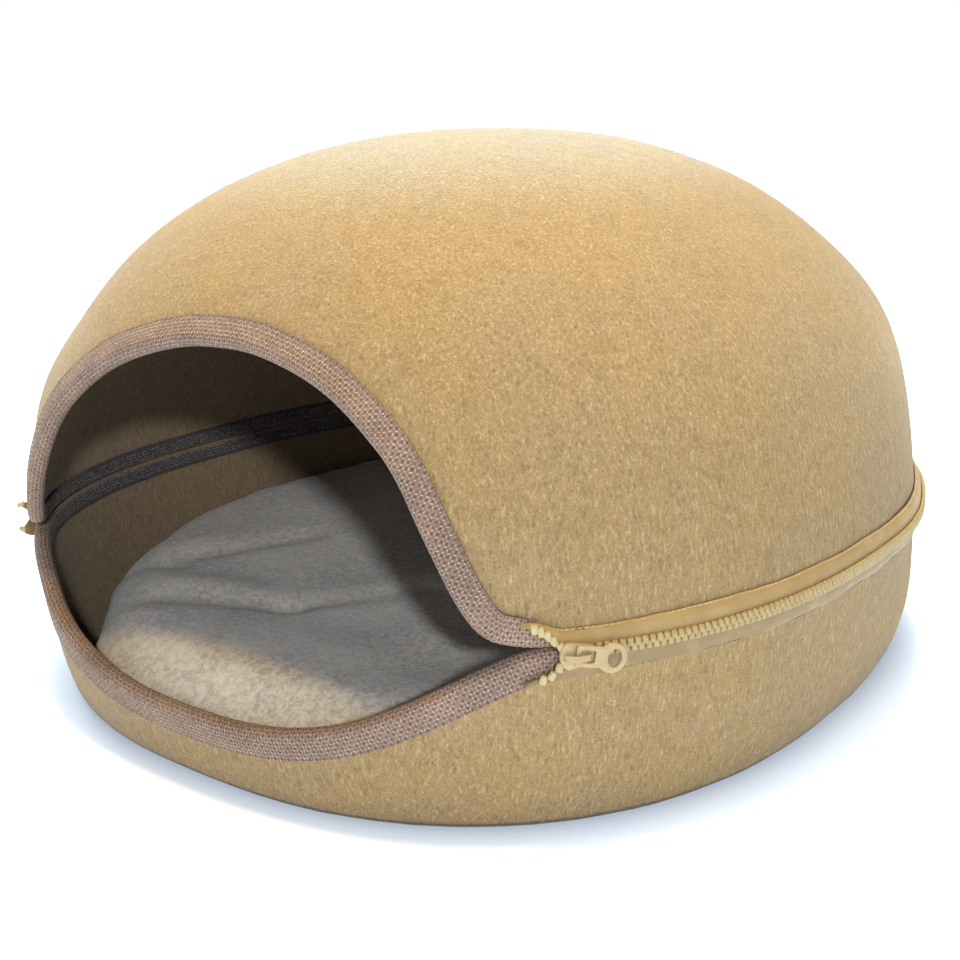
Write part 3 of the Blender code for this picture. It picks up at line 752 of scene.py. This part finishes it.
def makeTape(name, side, run, cloth):
    first, last = run["outer"][0][0], run["outer"][-1][0]
    ends, splayed, tail = (zipShape[key] for key in ("endColumns", "splayedTo", "tailFrom"))
    bearings = np.concatenate([
        np.linspace(first, splayed, ends, endpoint=False),
        evenBearings(waistLine, splayed, tail, zipShape["columns"] - 2 * ends),
        np.linspace(tail, last, ends + 1),
    ])
    distances = runAlong(waistLine, bearings)
    loop = zipShape["section"] + zipShape["back"]
    ups, outs = (np.array(values) for values in zip(*(loop + loop[:1])))
    share = (ups - ups[0]) / (ups.max() - ups[0])

    def shape(column, row):
        i, k = column.astype(int), row.astype(int)
        far = distances[i]
        pucker = sum(np.sin(far * 2 * pi / length + side) * high for length, high in zipShape["puckers"])
        pucker = pucker * smoothStep(zipShape["puckerFrom"], 1.0, share[k])
        inner, outer, lift, flare = (
            valueAt(run[key], bearings[i]) for key in ("inner", "outer", "lift", "flare"))
        up = inner + (outer - inner) * share[k] + pucker * zipShape["puckerUp"]
        out = outs[k] + pucker * zipShape["puckerOut"]
        out = out + lift * smoothStep(zipShape["liftFrom"], 1.0, share[k])
        out = out + flare * (1 - share[k])
        return zipPoint(bearings[i], side * up, out), np.stack([far, ups[k]], axis=-1)

    piece = bentGrid(name, zipShape["columns"], len(loop), shape, cloth)
    closeUp(piece)
    return piece, distances[-1]


upperTape, tapeLength = makeTape("upperTape", 1, tapeRuns["upper"], upperTapeCloth)
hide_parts("zip_tape_upper")
lowerTape, tapeLength = makeTape("lowerTape", -1, tapeRuns["lower"], shadedLowerTapeCloth)
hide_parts("zip_tape_lower")


def frameAt(point, *axes):
    made = Matrix(axes).transposed().to_4x4()
    made.translation = Vector(point)
    return made


def zipFrame(bearing, up, out, lean=0.0):
    # columns along the zip, up, and out from the wall; lean turns it about the outward direction
    outward = Vector(levelNormal(bearing, form["waist"] + up))
    upward = Vector((0, 0, 1))
    made = frameAt(zipPoint(bearing, up, np.float64(out)), upward.cross(outward), upward, outward)
    return made @ Matrix.Rotation(lean, 4, "Z")


def vertsOf(geometry):
    return [item for item in geometry if isinstance(item, bmesh.types.BMVert)]


def roundOff(bm, edges, width, segments):
    bmesh.ops.bevel(bm, geom=edges, offset=width, segments=segments, profile=0.5, material=-1,
                    affect="EDGES")


def plumpBlock(bm, shape, lift):
    # a block of this width, length and thickness, from its foot up
    block = bmesh.ops.create_cube(bm, size=1)["verts"]
    bmesh.ops.scale(bm, vec=(shape["wide"], shape["reach"], shape["thick"]), verts=block)
    bmesh.ops.translate(bm, vec=(0, lift, shape["thick"] / 2), verts=block)
    return block


toothShape = dict(
    wide=0.0030, neck=0.0027, reach=0.0036, over=0.0007, thick=0.0019, taper=0.88, nip=0.0004,
    round=0.00052,
)
beadShape = dict(wide=0.0033, reach=0.0041, thick=0.0024, taper=0.76, round=0.00095)


def toothForm(bm):
    # a moulded tooth: a broad foot on the tape and a narrower head that passes the middle line
    tooth = toothShape
    for vert in plumpBlock(bm, tooth, tooth["reach"] / 2 - tooth["over"]):
        if vert.co.z > tooth["thick"] * 0.9:
            vert.co.x *= tooth["taper"]
            vert.co.y -= tooth["nip"] if vert.co.y > 0 else 0
        if vert.co.y < 0:
            vert.co.x *= tooth["neck"] / tooth["wide"]
    roundOff(bm, list(bm.edges), tooth["round"], 1)


def beadForm(bm):
    # a splayed tooth seen from its side: a plump rounded block, narrower at its head
    for vert in plumpBlock(bm, beadShape, 0):
        if vert.co.y < 0:
            vert.co.x *= beadShape["taper"]
    roundOff(bm, list(bm.edges), beadShape["round"], 3)


def stampAll(name, makeForm, matrices, material):
    # one small form, repeated at each place and joined in one piece
    bm = bmesh.new()
    makeForm(bm)
    bm.normal_update()
    pattern = list(bm.verts) + list(bm.edges) + list(bm.faces)
    for matrix in matrices:
        copied = bmesh.ops.duplicate(bm, geom=pattern)
        bmesh.ops.transform(bm, matrix=matrix, verts=vertsOf(copied["geom"]))
    bmesh.ops.delete(bm, geom=vertsOf(pattern), context="VERTS")
    bmesh.ops.recalc_face_normals(bm, faces=bm.faces)
    piece = finishPiece(name, bm, material, 50)
    return piece


# splayed teeth: bearing, height from the waist, lean in degrees from upright
splayedTeeth = {
    "upper": [(43.95, 0.0020, 24), (43.30, 0.0048, 30), (42.75, 0.0071, 22), (42.15, 0.0090, 12),
              (41.58, 0.0102, 2)],
    "lower": [(43.75, -0.0058, 10), (43.10, -0.0089, 34), (42.30, -0.0104, 14)],
}
# the last tooth on each free end at the far corner, with how far it stands out and is tipped outwards
tailTeeth = {
    "upper": [(-41.9, 0.0064, -6, 0.0080, 66)],
    "lower": [(-41.7, -0.0048, -6, 0.0084, 60)],
}
teethSeat = dict(chain=0.0038, splayed=0.0036)


def teethMatrices(side):
    chain = evenBearings(waistLine, zipShape["chainStart"], zipShape["chainStop"], 4000)
    run = runAlong(waistLine, chain)
    count = int(run[-1] / zipShape["pitch"])
    places = (np.arange(count) + (0.25 if side > 0 else 0.75)) * zipShape["pitch"]
    flip = Matrix.Diagonal((1, side, 1, 1))
    return [zipFrame(bearing, 0.0, teethSeat["chain"]) @ flip for bearing in np.interp(places, run, chain)]


def beadMatrices(side):
    key = "upper" if side > 0 else "lower"
    rows = [(*row, teethSeat["splayed"], 0) for row in splayedTeeth[key]] + tailTeeth[key]
    flip = Matrix.Diagonal((1, side, 1, 1))
    made = []
    for bearing, up, lean, seat, tip in rows:
        tipped = Matrix.Rotation(radians(-tip * side), 4, "X")
        made.append(zipFrame(bearing, up, seat, radians(lean) * side) @ tipped @ flip)
    return made


for side, key in ((1, "upper"), (-1, "lower")):
    teeth = stampAll(key + "Teeth", toothForm, teethMatrices(side), teethPlastic)
    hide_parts("zip_chain")
    beads = stampAll(key + "Beads", beadForm, beadMatrices(side), beadPlastic)
    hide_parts("zip_end_" + key, "zip_tail_" + key)
print("zip tapes and teeth made")


# Stitches along the bindings and the tapes

def stitchForm(bm):
    bmesh.ops.create_uvsphere(bm, u_segments=6, v_segments=4, radius=1.0)


stitchShape = dict(
    pitch=0.0034, length=0.0023, thick=0.00036, sunk=0.00042, shortOfCorner=1.5,
    tapePitch=0.0026, tapeLength=0.0019, tapeThick=0.8, tapeFrom=44.6, tapeTo=316.0, tapeInset=0.00035,
    tapeStand=0.0014, tapeTip=0.9, step=0.1,
)


def alongFrame(point, direction, normal, length, thick):
    x = Vector(direction).normalized()
    z = (Vector(normal) - x * x.dot(Vector(normal))).normalized()
    return frameAt(point, x, z.cross(x), z) @ Matrix.Diagonal((length / 2, thick, thick, 1))


def bindingStitches(name, edge, side):
    stitch, corner = stitchShape, form["cornerBearing"]
    bearings = pitchedBearings(edge, -corner, 360 - corner, stitch["pitch"], stitch["pitch"])
    foot, tangent, intoCloth, legs = edgeFrames(edge, bearings, side)
    spot = foot + intoCloth * (legs - tapeFold["seam"])[:, None]
    around = bearingOf(spot)
    stand = form["clearance"] + tapeFold["thickness"] - stitch["sunk"]
    points = skin(around, spot[:, 2], 0 * around - stand)
    normals = wallNormal(around, spot[:, 2])
    matrices = [
        alongFrame(p, t, n, stitch["length"], stitch["thick"])
        for p, t, n, bearing in zip(points, tangent, normals, bearings)
        if abs(turnBetween(bearing, 0)) < corner - stitch["shortOfCorner"]
    ]
    return stampAll(name, stitchForm, matrices, bindingThread)


def tapeStitches(name, side, run, thread):
    stitch = stitchShape
    bearings = pitchedBearings(waistLine, stitch["tapeFrom"], stitch["tapeTo"], stitch["tapePitch"])
    up = valueAt(run["outer"], bearings) - stitch["tapeInset"]
    points = zipPoint(bearings, side * up, np.full(len(bearings), stitch["tapeStand"]))
    aside = tangentOf(waistLine, bearings, stitch["step"])
    normals = levelNormal(bearings, waistLine(bearings)) + np.array([0, 0, stitch["tapeTip"] * side])
    thick = stitch["thick"] * stitch["tapeThick"]
    matrices = [alongFrame(p, t, n, stitch["tapeLength"], thick) for p, t, n in zip(points, aside, normals)]
    return stampAll(name, stitchForm, matrices, thread)


domeStitches = bindingStitches("domeBindingStitches", domeEdge, 1)
bowlStitches = bindingStitches("bowlBindingStitches", bowlEdge, -1)
upperTapeStitches = tapeStitches("upperTapeStitches", 1, tapeRuns["upper"], upperTapeThread)
lowerTapeStitches = tapeStitches("lowerTapeStitches", -1, tapeRuns["lower"], shadedLowerTapeThread)
print("stitches made")


# Slider and pull

sliderShape = dict(
    bearing=45.6, up=-0.0012, floor=0.0041, thick=0.0026, nose=-0.0082, rear=0.0056, halfNose=0.0054,
    halfRear=0.0037, corner=0.0012, rim=0.0005, noseRound=0.55,      # share of the nose that is round
    bridgeHalf=0.0013, bridgeHigh=0.0037, bridgeEnds=(-0.0070, 0.0044), bridgeSunk=0.0004,
    bridgeThick=(0.0013, 0.0008), bridgeRim=0.00035,
)
pullShape = dict(
    length=0.0208, thick=0.0012, halfBase=0.0043, halfNeck=0.0042, radius=0.0061, start=(-0.0026, 0.0010),
    shoulder=0.0088, neck=0.0100, slot=(0.0016, 0.0078, 0.0025), eye=(0.0157, 0.0028, 0.0037),
    swing=-10.5, tilt=3.0, seat=0.0009, corner=0.0014, slotCorner=0.0008, rim=0.00030,
)


def sliderMatrix():
    return zipFrame(sliderShape["bearing"], sliderShape["up"], 0.0)


def drawOut(bm, faces, by):
    top = vertsOf(bmesh.ops.extrude_face_region(bm, geom=faces)["geom"])
    bmesh.ops.translate(bm, verts=top, vec=by)
    return top


def slab(bm, outline, by):
    # a solid drawn out of an outline, with its faces outwards; it gives back its edges
    low = [bm.verts.new(spot) for spot in outline]
    verts = low + drawOut(bm, [bm.faces.new(low)], by)
    bmesh.ops.recalc_face_normals(bm, faces=[face for face in bm.faces if face.verts[0] in verts])
    return [edge for edge in bm.edges if edge.verts[0] in verts]


def arc(centreX, centreY, radiusX, radiusY, first, last, steps):
    turns = [radians(first + (last - first) * k / steps) for k in range(steps + 1)]
    return [(centreX + radiusX * cos(a), centreY + radiusY * sin(a)) for a in turns]


def quarter(x, y, radius, first, steps):
    # the sharp corner at x, y rounded, through a quarter turn from the first angle
    middle = radians(first + 45)
    x, y = x - copysign(radius, cos(middle)), y - copysign(radius, sin(middle))
    return arc(x, y, radius, radius, first, first + 90, steps)


def softRims(bm, edges, width, segments=2, angle=50):
    rims = [edge for edge in edges if edge.is_manifold and edge.calc_face_angle(0) > radians(angle)]
    roundOff(bm, rims, width, segments)


def makeSlider():
    s = sliderShape
    bm = bmesh.new()
    middle = s["nose"] * s["noseRound"]
    outline = arc(middle, 0, middle - s["nose"], s["halfNose"], 90, 270, 18)
    outline += quarter(s["rear"], -s["halfRear"], s["corner"], -90, 4)
    outline += quarter(s["rear"], s["halfRear"], s["corner"], 0, 4)
    body = slab(bm, [(x, y, s["floor"]) for x, y in outline], (0, 0, s["thick"]))
    softRims(bm, body, s["rim"], 3)
    # the bridge is an arched bar from nose to rear
    first, last = s["bridgeEnds"]
    centre, span, sunk = (first + last) / 2, (last - first) / 2, s["bridgeSunk"]
    foot = s["floor"] + s["thick"] - sunk
    long, high = s["bridgeThick"]
    ring = arc(centre, foot, span, s["bridgeHigh"] + sunk, 180, 0, 14)
    ring += arc(centre, foot, span - long, s["bridgeHigh"] - high, 0, 180, 14)
    bar = slab(bm, [(x, -s["bridgeHalf"], z) for x, z in ring], (0, 2 * s["bridgeHalf"], 0))
    softRims(bm, bar, s["bridgeRim"])
    bmesh.ops.transform(bm, matrix=sliderMatrix(), verts=bm.verts)
    piece = finishPiece("sliderBody", bm, sliderPaint, 35)
    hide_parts("slider_body")


def makePull():
    p = pullShape
    bm = bmesh.new()
    shoulder, neck, base = p["shoulder"], p["neck"], p["halfBase"]
    outline = quarter(0, -base, p["corner"], 180, 4)
    outline += [(shoulder, -base), (neck, -p["halfNeck"])]
    outline += arc(p["length"] - p["radius"], 0, p["radius"], p["radius"], -135, 135, 28)
    outline += [(neck, p["halfNeck"]), (shoulder, base)]
    outline += quarter(0, base, p["corner"], 90, 4)
    start, end, half = p["slot"]
    corners = ((start, -half, 180), (end, -half, 270), (end, half, 0), (start, half, 90))
    slot = [spot for x, y, first in corners for spot in quarter(x, y, p["slotCorner"], first, 3)]
    eyeX, eyeLong, eyeWide = p["eye"]
    edges = []
    for outline in (outline, slot, arc(eyeX, 0, eyeLong, eyeWide, 0, 345, 23)):
        ring = [bm.verts.new((x, y, 0)) for x, y in outline]
        edges += [bm.edges.new((ring[i], ring[(i + 1) % len(ring)])) for i in range(len(ring))]
    bmesh.ops.triangle_fill(bm, use_beauty=True, use_dissolve=False, edges=edges)
    for face in bm.faces:
        if face.normal.z < 0:
            face.normal_flip()
    drawOut(bm, list(bm.faces), (0, 0, p["thick"]))
    bmesh.ops.recalc_face_normals(bm, faces=bm.faces)
    softRims(bm, bm.edges, p["rim"])
    seat = sliderShape["floor"] + sliderShape["thick"] + p["seat"]
    lay = Matrix.Translation((*p["start"], seat))
    lay = lay @ Matrix.Rotation(radians(p["swing"]), 4, "Z") @ Matrix.Rotation(radians(p["tilt"]), 4, "Y")
    bmesh.ops.transform(bm, matrix=sliderMatrix() @ lay, verts=bm.verts)
    piece = finishPiece("sliderPull", bm, sliderPaint, 35)
    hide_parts("slider_pull")


makeSlider()
makePull()
print("slider made")


# Cushion: the CAD's form is remeshed, blown up a little as cloth, then creased

cushionShape = dict(
    shrink=0.0018, voxel=0.0046, pressure=1.6, frames=16, cap=0.0035, smooth=8, fill=0.45,
    cloth=dict(quality=5, tension_stiffness=12, bending_stiffness=0.6),
    # the front is plumped up towards the opening: half its spread, height; its shoulder is squared
    # against the wall; its side is drawn in (or out) at a bearing by so much, over such a spread
    front=(66, 0.0054), shoulder=0.0110, wallGap=0.0026, drawn=[(-34, 0.0130, 12), (-72, -0.0060, 14)],
    # where these set in and where they are full: by bearing, by height, and by the way out from the middle
    frontFade=(1.0, 0.3), frontRise=(0.012, 0.034), shoulderShare=(0.68, 0.88), drawnShare=(0.3, 0.95),
    plumpShare=(0.55, 0.80), plumpEnd=(0.84, 0.95),
    # and the lumps and folds, by height above the floor and by how far the cloth faces up
    lumpsFrom=(0.012, 0.030), foldsFacing=(0.2, 0.8), seat=0.0002,
    # fold: from, to, width, height
    folds=[
        ((-0.161, -0.137), (-0.124, -0.127), 0.009, -0.0032),
        ((-0.129, -0.113), (-0.092, -0.048), 0.010, -0.0032),
        ((-0.086, -0.167), (-0.028, -0.130), 0.009, -0.0028),
        ((-0.028, -0.130), (0.018, -0.073), 0.010, -0.0026),
        ((-0.116, -0.158), (-0.053, -0.127), 0.014, 0.0022),
        ((-0.016, -0.102), (0.044, -0.034), 0.020, 0.0018),
        ((0.070, -0.160), (0.120, -0.060), 0.018, -0.0022),
        ((-0.040, 0.020), (0.060, 0.090), 0.024, -0.0020),
    ],
    lumps=[(14, 0.0020), (38, 0.0006), (120, 0.00014)],
)


def cushionCopy():
    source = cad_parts["cushion"]
    bm = bmesh.new()
    bm.from_mesh(source.data)
    bmesh.ops.remove_doubles(bm, verts=bm.verts, dist=1e-6)
    bm.normal_update()
    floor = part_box("cushion")[0].z
    for vert in bm.verts:
        vert.co -= vert.normal * cushionShape["shrink"]
        vert.co.z = max(vert.co.z, floor + cushionShape["seat"])
    return finishPiece("plushCushion", bm, plush, 180)


def applyModifiers(piece):
    graph = bpy.context.evaluated_depsgraph_get()
    mesh = bpy.data.meshes.new_from_object(piece.evaluated_get(graph))
    piece.modifiers.clear()
    old = piece.data
    piece.data = mesh
    bpy.data.meshes.remove(old)


def pointsOf(piece):
    found = np.zeros(len(piece.data.vertices) * 3, np.float32)
    piece.data.vertices.foreach_get("co", found)
    return found.reshape(-1, 3).astype(float)


def setPoints(piece, found):
    piece.data.vertices.foreach_set("co", found.astype(np.float32).ravel())
    piece.data.update()


def puff(piece):
    # cloth with air in it and no gravity; no point moves further than the cap
    c = cushionShape
    remesh = piece.modifiers.new("even", "REMESH")
    remesh.mode = "VOXEL"
    remesh.voxel_size = c["voxel"]
    applyModifiers(piece)
    before = pointsOf(piece)
    cloth = piece.modifiers.new("cloth", "CLOTH")
    cloth.settings.effector_weights.gravity = 0
    cloth.settings.use_pressure = True
    cloth.settings.uniform_pressure_force = c["pressure"]
    for key, value in c["cloth"].items():
        setattr(cloth.settings, key, value)
    cloth.point_cache.frame_start = 1
    cloth.point_cache.frame_end = c["frames"]
    for step in range(1, c["frames"] + 1):
        bpy.context.scene.frame_set(step)
    applyModifiers(piece)
    bpy.context.scene.frame_set(1)
    moved = pointsOf(piece) - before
    length = np.linalg.norm(moved, axis=1, keepdims=True)
    setPoints(piece, before + moved * np.minimum(1, c["cap"] / np.maximum(length, 1e-9)))
    soft = piece.modifiers.new("soft", "SMOOTH")
    soft.factor, soft.iterations = 0.5, c["smooth"]
    applyModifiers(piece)


def foldHeight(found):
    total = np.zeros(len(found))
    for first, last, width, high in cushionShape["folds"]:
        first, line = np.array(first), np.array(last) - np.array(first)
        offset = found[:, :2] - first
        share = np.clip(offset @ line / (line @ line), 0, 1)
        away = np.linalg.norm(offset - share[:, None] * line, axis=1)
        total += high * np.exp(-(away / width) ** 2)
    return total


def plumpFront(found):
    c = cushionShape
    half, high = c["front"]
    bearing, radius = bearingOf(found), np.linalg.norm(found[:, :2], axis=1)
    plan = planRadius(bearing)
    share = radius / plan
    facing = smoothStep(*c["frontFade"], np.abs(turnBetween(bearing, 0)) / half)
    raised = facing * smoothStep(*c["frontRise"], found[:, 2])
    wall = wallRadius(bearing, np.minimum(found[:, 2], form["waist"]))
    wall = wall - form["felt"] - c["wallGap"]
    reach = radius + c["shoulder"] * raised * smoothStep(*c["shoulderShare"], share)
    for at, inward, spread in c["drawn"]:
        near = np.exp(-(turnBetween(bearing, at) / spread) ** 2)
        reach = reach - inward * near * smoothStep(*c["drawnShare"], share)
    reach = np.minimum(reach, wall)
    found[:, :2] *= (reach / np.maximum(radius, 1e-6))[:, None]
    within = 1 - smoothStep(*c["plumpEnd"], reach / plan)
    found[:, 2] += high * raised * smoothStep(*c["plumpShare"], share) * within


def makeCushion():
    c = cushionShape
    piece = cushionCopy()
    puff(piece)
    fine = piece.modifiers.new("fine", "SUBSURF")
    fine.levels = fine.render_levels = 1
    applyModifiers(piece)
    found = pointsOf(piece)
    normals = np.array([vert.normal[:] for vert in piece.data.vertices])
    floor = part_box("cushion")[0].z
    upward = smoothStep(*c["foldsFacing"], normals[:, 2])
    upper = smoothStep(*(floor + high for high in c["lumpsFrom"]), found[:, 2])
    found += normals * (lumpsAt(found, c["lumps"], 1) * upper)[:, None]
    found[:, 2] += foldHeight(found) * upward
    plumpFront(found)
    found[:, 2] = np.maximum(found[:, 2], floor)
    setPoints(piece, found)
    piece.data.shade_smooth()
    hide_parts("cushion")


makeCushion()
print("cushion made")


# Floor, light and camera

studio = dict(
    floorSize=6.0, floorDrop=0.0003, floorColour=(0.68, 0.79, 0.98, 1), glowColour=(0.84, 0.92, 1.0, 1),
    # the floor's glow under the foot, near it and far away; the dimmer glow under and round the foot is a
    # painted contact shadow. Near is in shares of the foot's own outline, and far is in metres
    floorGlow=(0.18, 0.68, 1.12), paintedShadowSpan=(0.99, 1.12), glowFar=(0.34, 1.0),
    # the sky is white round the horizon and falls off overhead, over this range of heights
    horizon=(1.0, 1.02, 1.10, 1), overhead=(0.04, 0.04, 0.04, 1), fallOff=(0.12, 0.55),
    # name: place, aim, size, watts, colour
    lights={
        "flash": ((1.28, -1.28, 0.77), (0.0, -0.05, 0.08), 0.11, 20.9, (0.98, 0.99, 1.0)),
        "ceilingLamp": ((0.10, -0.26, 1.42), (0.05, -0.17, 0.0), 0.16, 8.6, (1.0, 0.63, 0.14)),
        "warmSoftbox": ((-0.05, 0.20, 1.40), (0.0, 0.0, 0.20), 0.50, 28.8, (1.0, 0.96, 0.76)),
        "backSoftbox": ((-0.10, 0.62, 1.30), (0.0, 0.05, 0.25), 0.50, 8.5, (0.62, 0.82, 1.0)),
        "leftSoftbox": ((-1.30, 0.15, 0.80), (0.0, 0.0, 0.12), 0.60, 9.3, (0.94, 1.0, 1.0)),
    },
)


def makeFloor():
    bm = bmesh.new()
    bmesh.ops.create_grid(bm, x_segments=1, y_segments=1, size=studio["floorSize"] / 2)
    bmesh.ops.translate(bm, vec=(0, 0, -studio["floorDrop"]), verts=bm.verts)
    made, shader = newMaterial("paleFloor", {
        "Base Color": studio["floorColour"], "Roughness": 0.9, "Specular IOR Level": 0.1,
        "Emission Color": studio["glowColour"]})
    # a light table that glows less under and close round the foot: a painted contact shadow, shaped to the
    # foot's outline
    coords = coordsOf(shader)["Object"]
    split = splitUp(coords)
    power, terms = form["planPower"], []
    for axis, half in (("X", form["halfWidth"]), ("Y", form["halfDepth"])):
        across = maths("DIVIDE", maths("ABSOLUTE", split[axis]), half * form["footShare"])
        terms.append(maths("POWER", across, power))
    share = maths("POWER", maths("ADD", *terms), 1 / power)
    length = addNode(coords.id_data, "ShaderNodeVectorMath", {"Vector": coords}, operation="LENGTH")
    far = length.outputs["Value"]
    under, near, away = studio["floorGlow"]
    glow = maths("ADD", ranged(share, *studio["paintedShadowSpan"], under, near),
                 ranged(far, *studio["glowFar"], 0, away - near))
    feed(shader.inputs["Emission Strength"], glow)
    floor = addObject("floor", meshFrom("floor", bm, made))


def makeLights():
    world = bpy.data.worlds.new("studio")
    world.use_nodes = True
    background = world.node_tree.nodes["Background"]
    height = splitUp(coordsOf(background)["Generated"])["Z"]
    sky = layered(studio["horizon"], [(height, studio["fallOff"], studio["overhead"])])
    feed(background.inputs["Color"], sky)
    bpy.context.scene.world = world
    for name, (spot, aim, size, watts, colour) in studio["lights"].items():
        light = bpy.data.lights.new(name, "AREA")
        light.shape = "DISK"
        light.size = size
        light.energy = watts
        light.color = colour
        lamp = addObject(name, light)
        lamp.location = spot
        lamp.rotation_euler = (Vector(aim) - Vector(spot)).to_track_quat("-Z", "Y").to_euler()


view = dict(
    azimuth=37.9797, elevation=13.9693, distance=0.7238, height=0.10,
    yaw=-0.3727, pitch=-1.096, roll=-1.4602, lens=48.9, sensor=36,
)


def makeCamera():
    az, el = radians(view["azimuth"]), radians(view["elevation"])
    back = Vector((sin(az) * cos(el), -cos(az) * cos(el), sin(el)))
    turn = (-back).to_track_quat("-Z", "Y").to_matrix().to_4x4()
    for angle, axis in ((-view["yaw"], "Y"), (view["pitch"], "X"), (view["roll"], "Z")):
        turn = turn @ Matrix.Rotation(radians(angle), 4, axis)
    data = bpy.data.cameras.new("camera")
    data.lens = view["lens"]
    data.sensor_width = view["sensor"]
    camera = addObject("camera", data)
    turn.translation = Vector((0, 0, view["height"])) + back * view["distance"]
    camera.matrix_world = turn
    bpy.context.scene.camera = camera


makeFloor()
makeLights()
makeCamera()
bpy.context.scene.view_settings.view_transform = "Standard"
print("studio made")
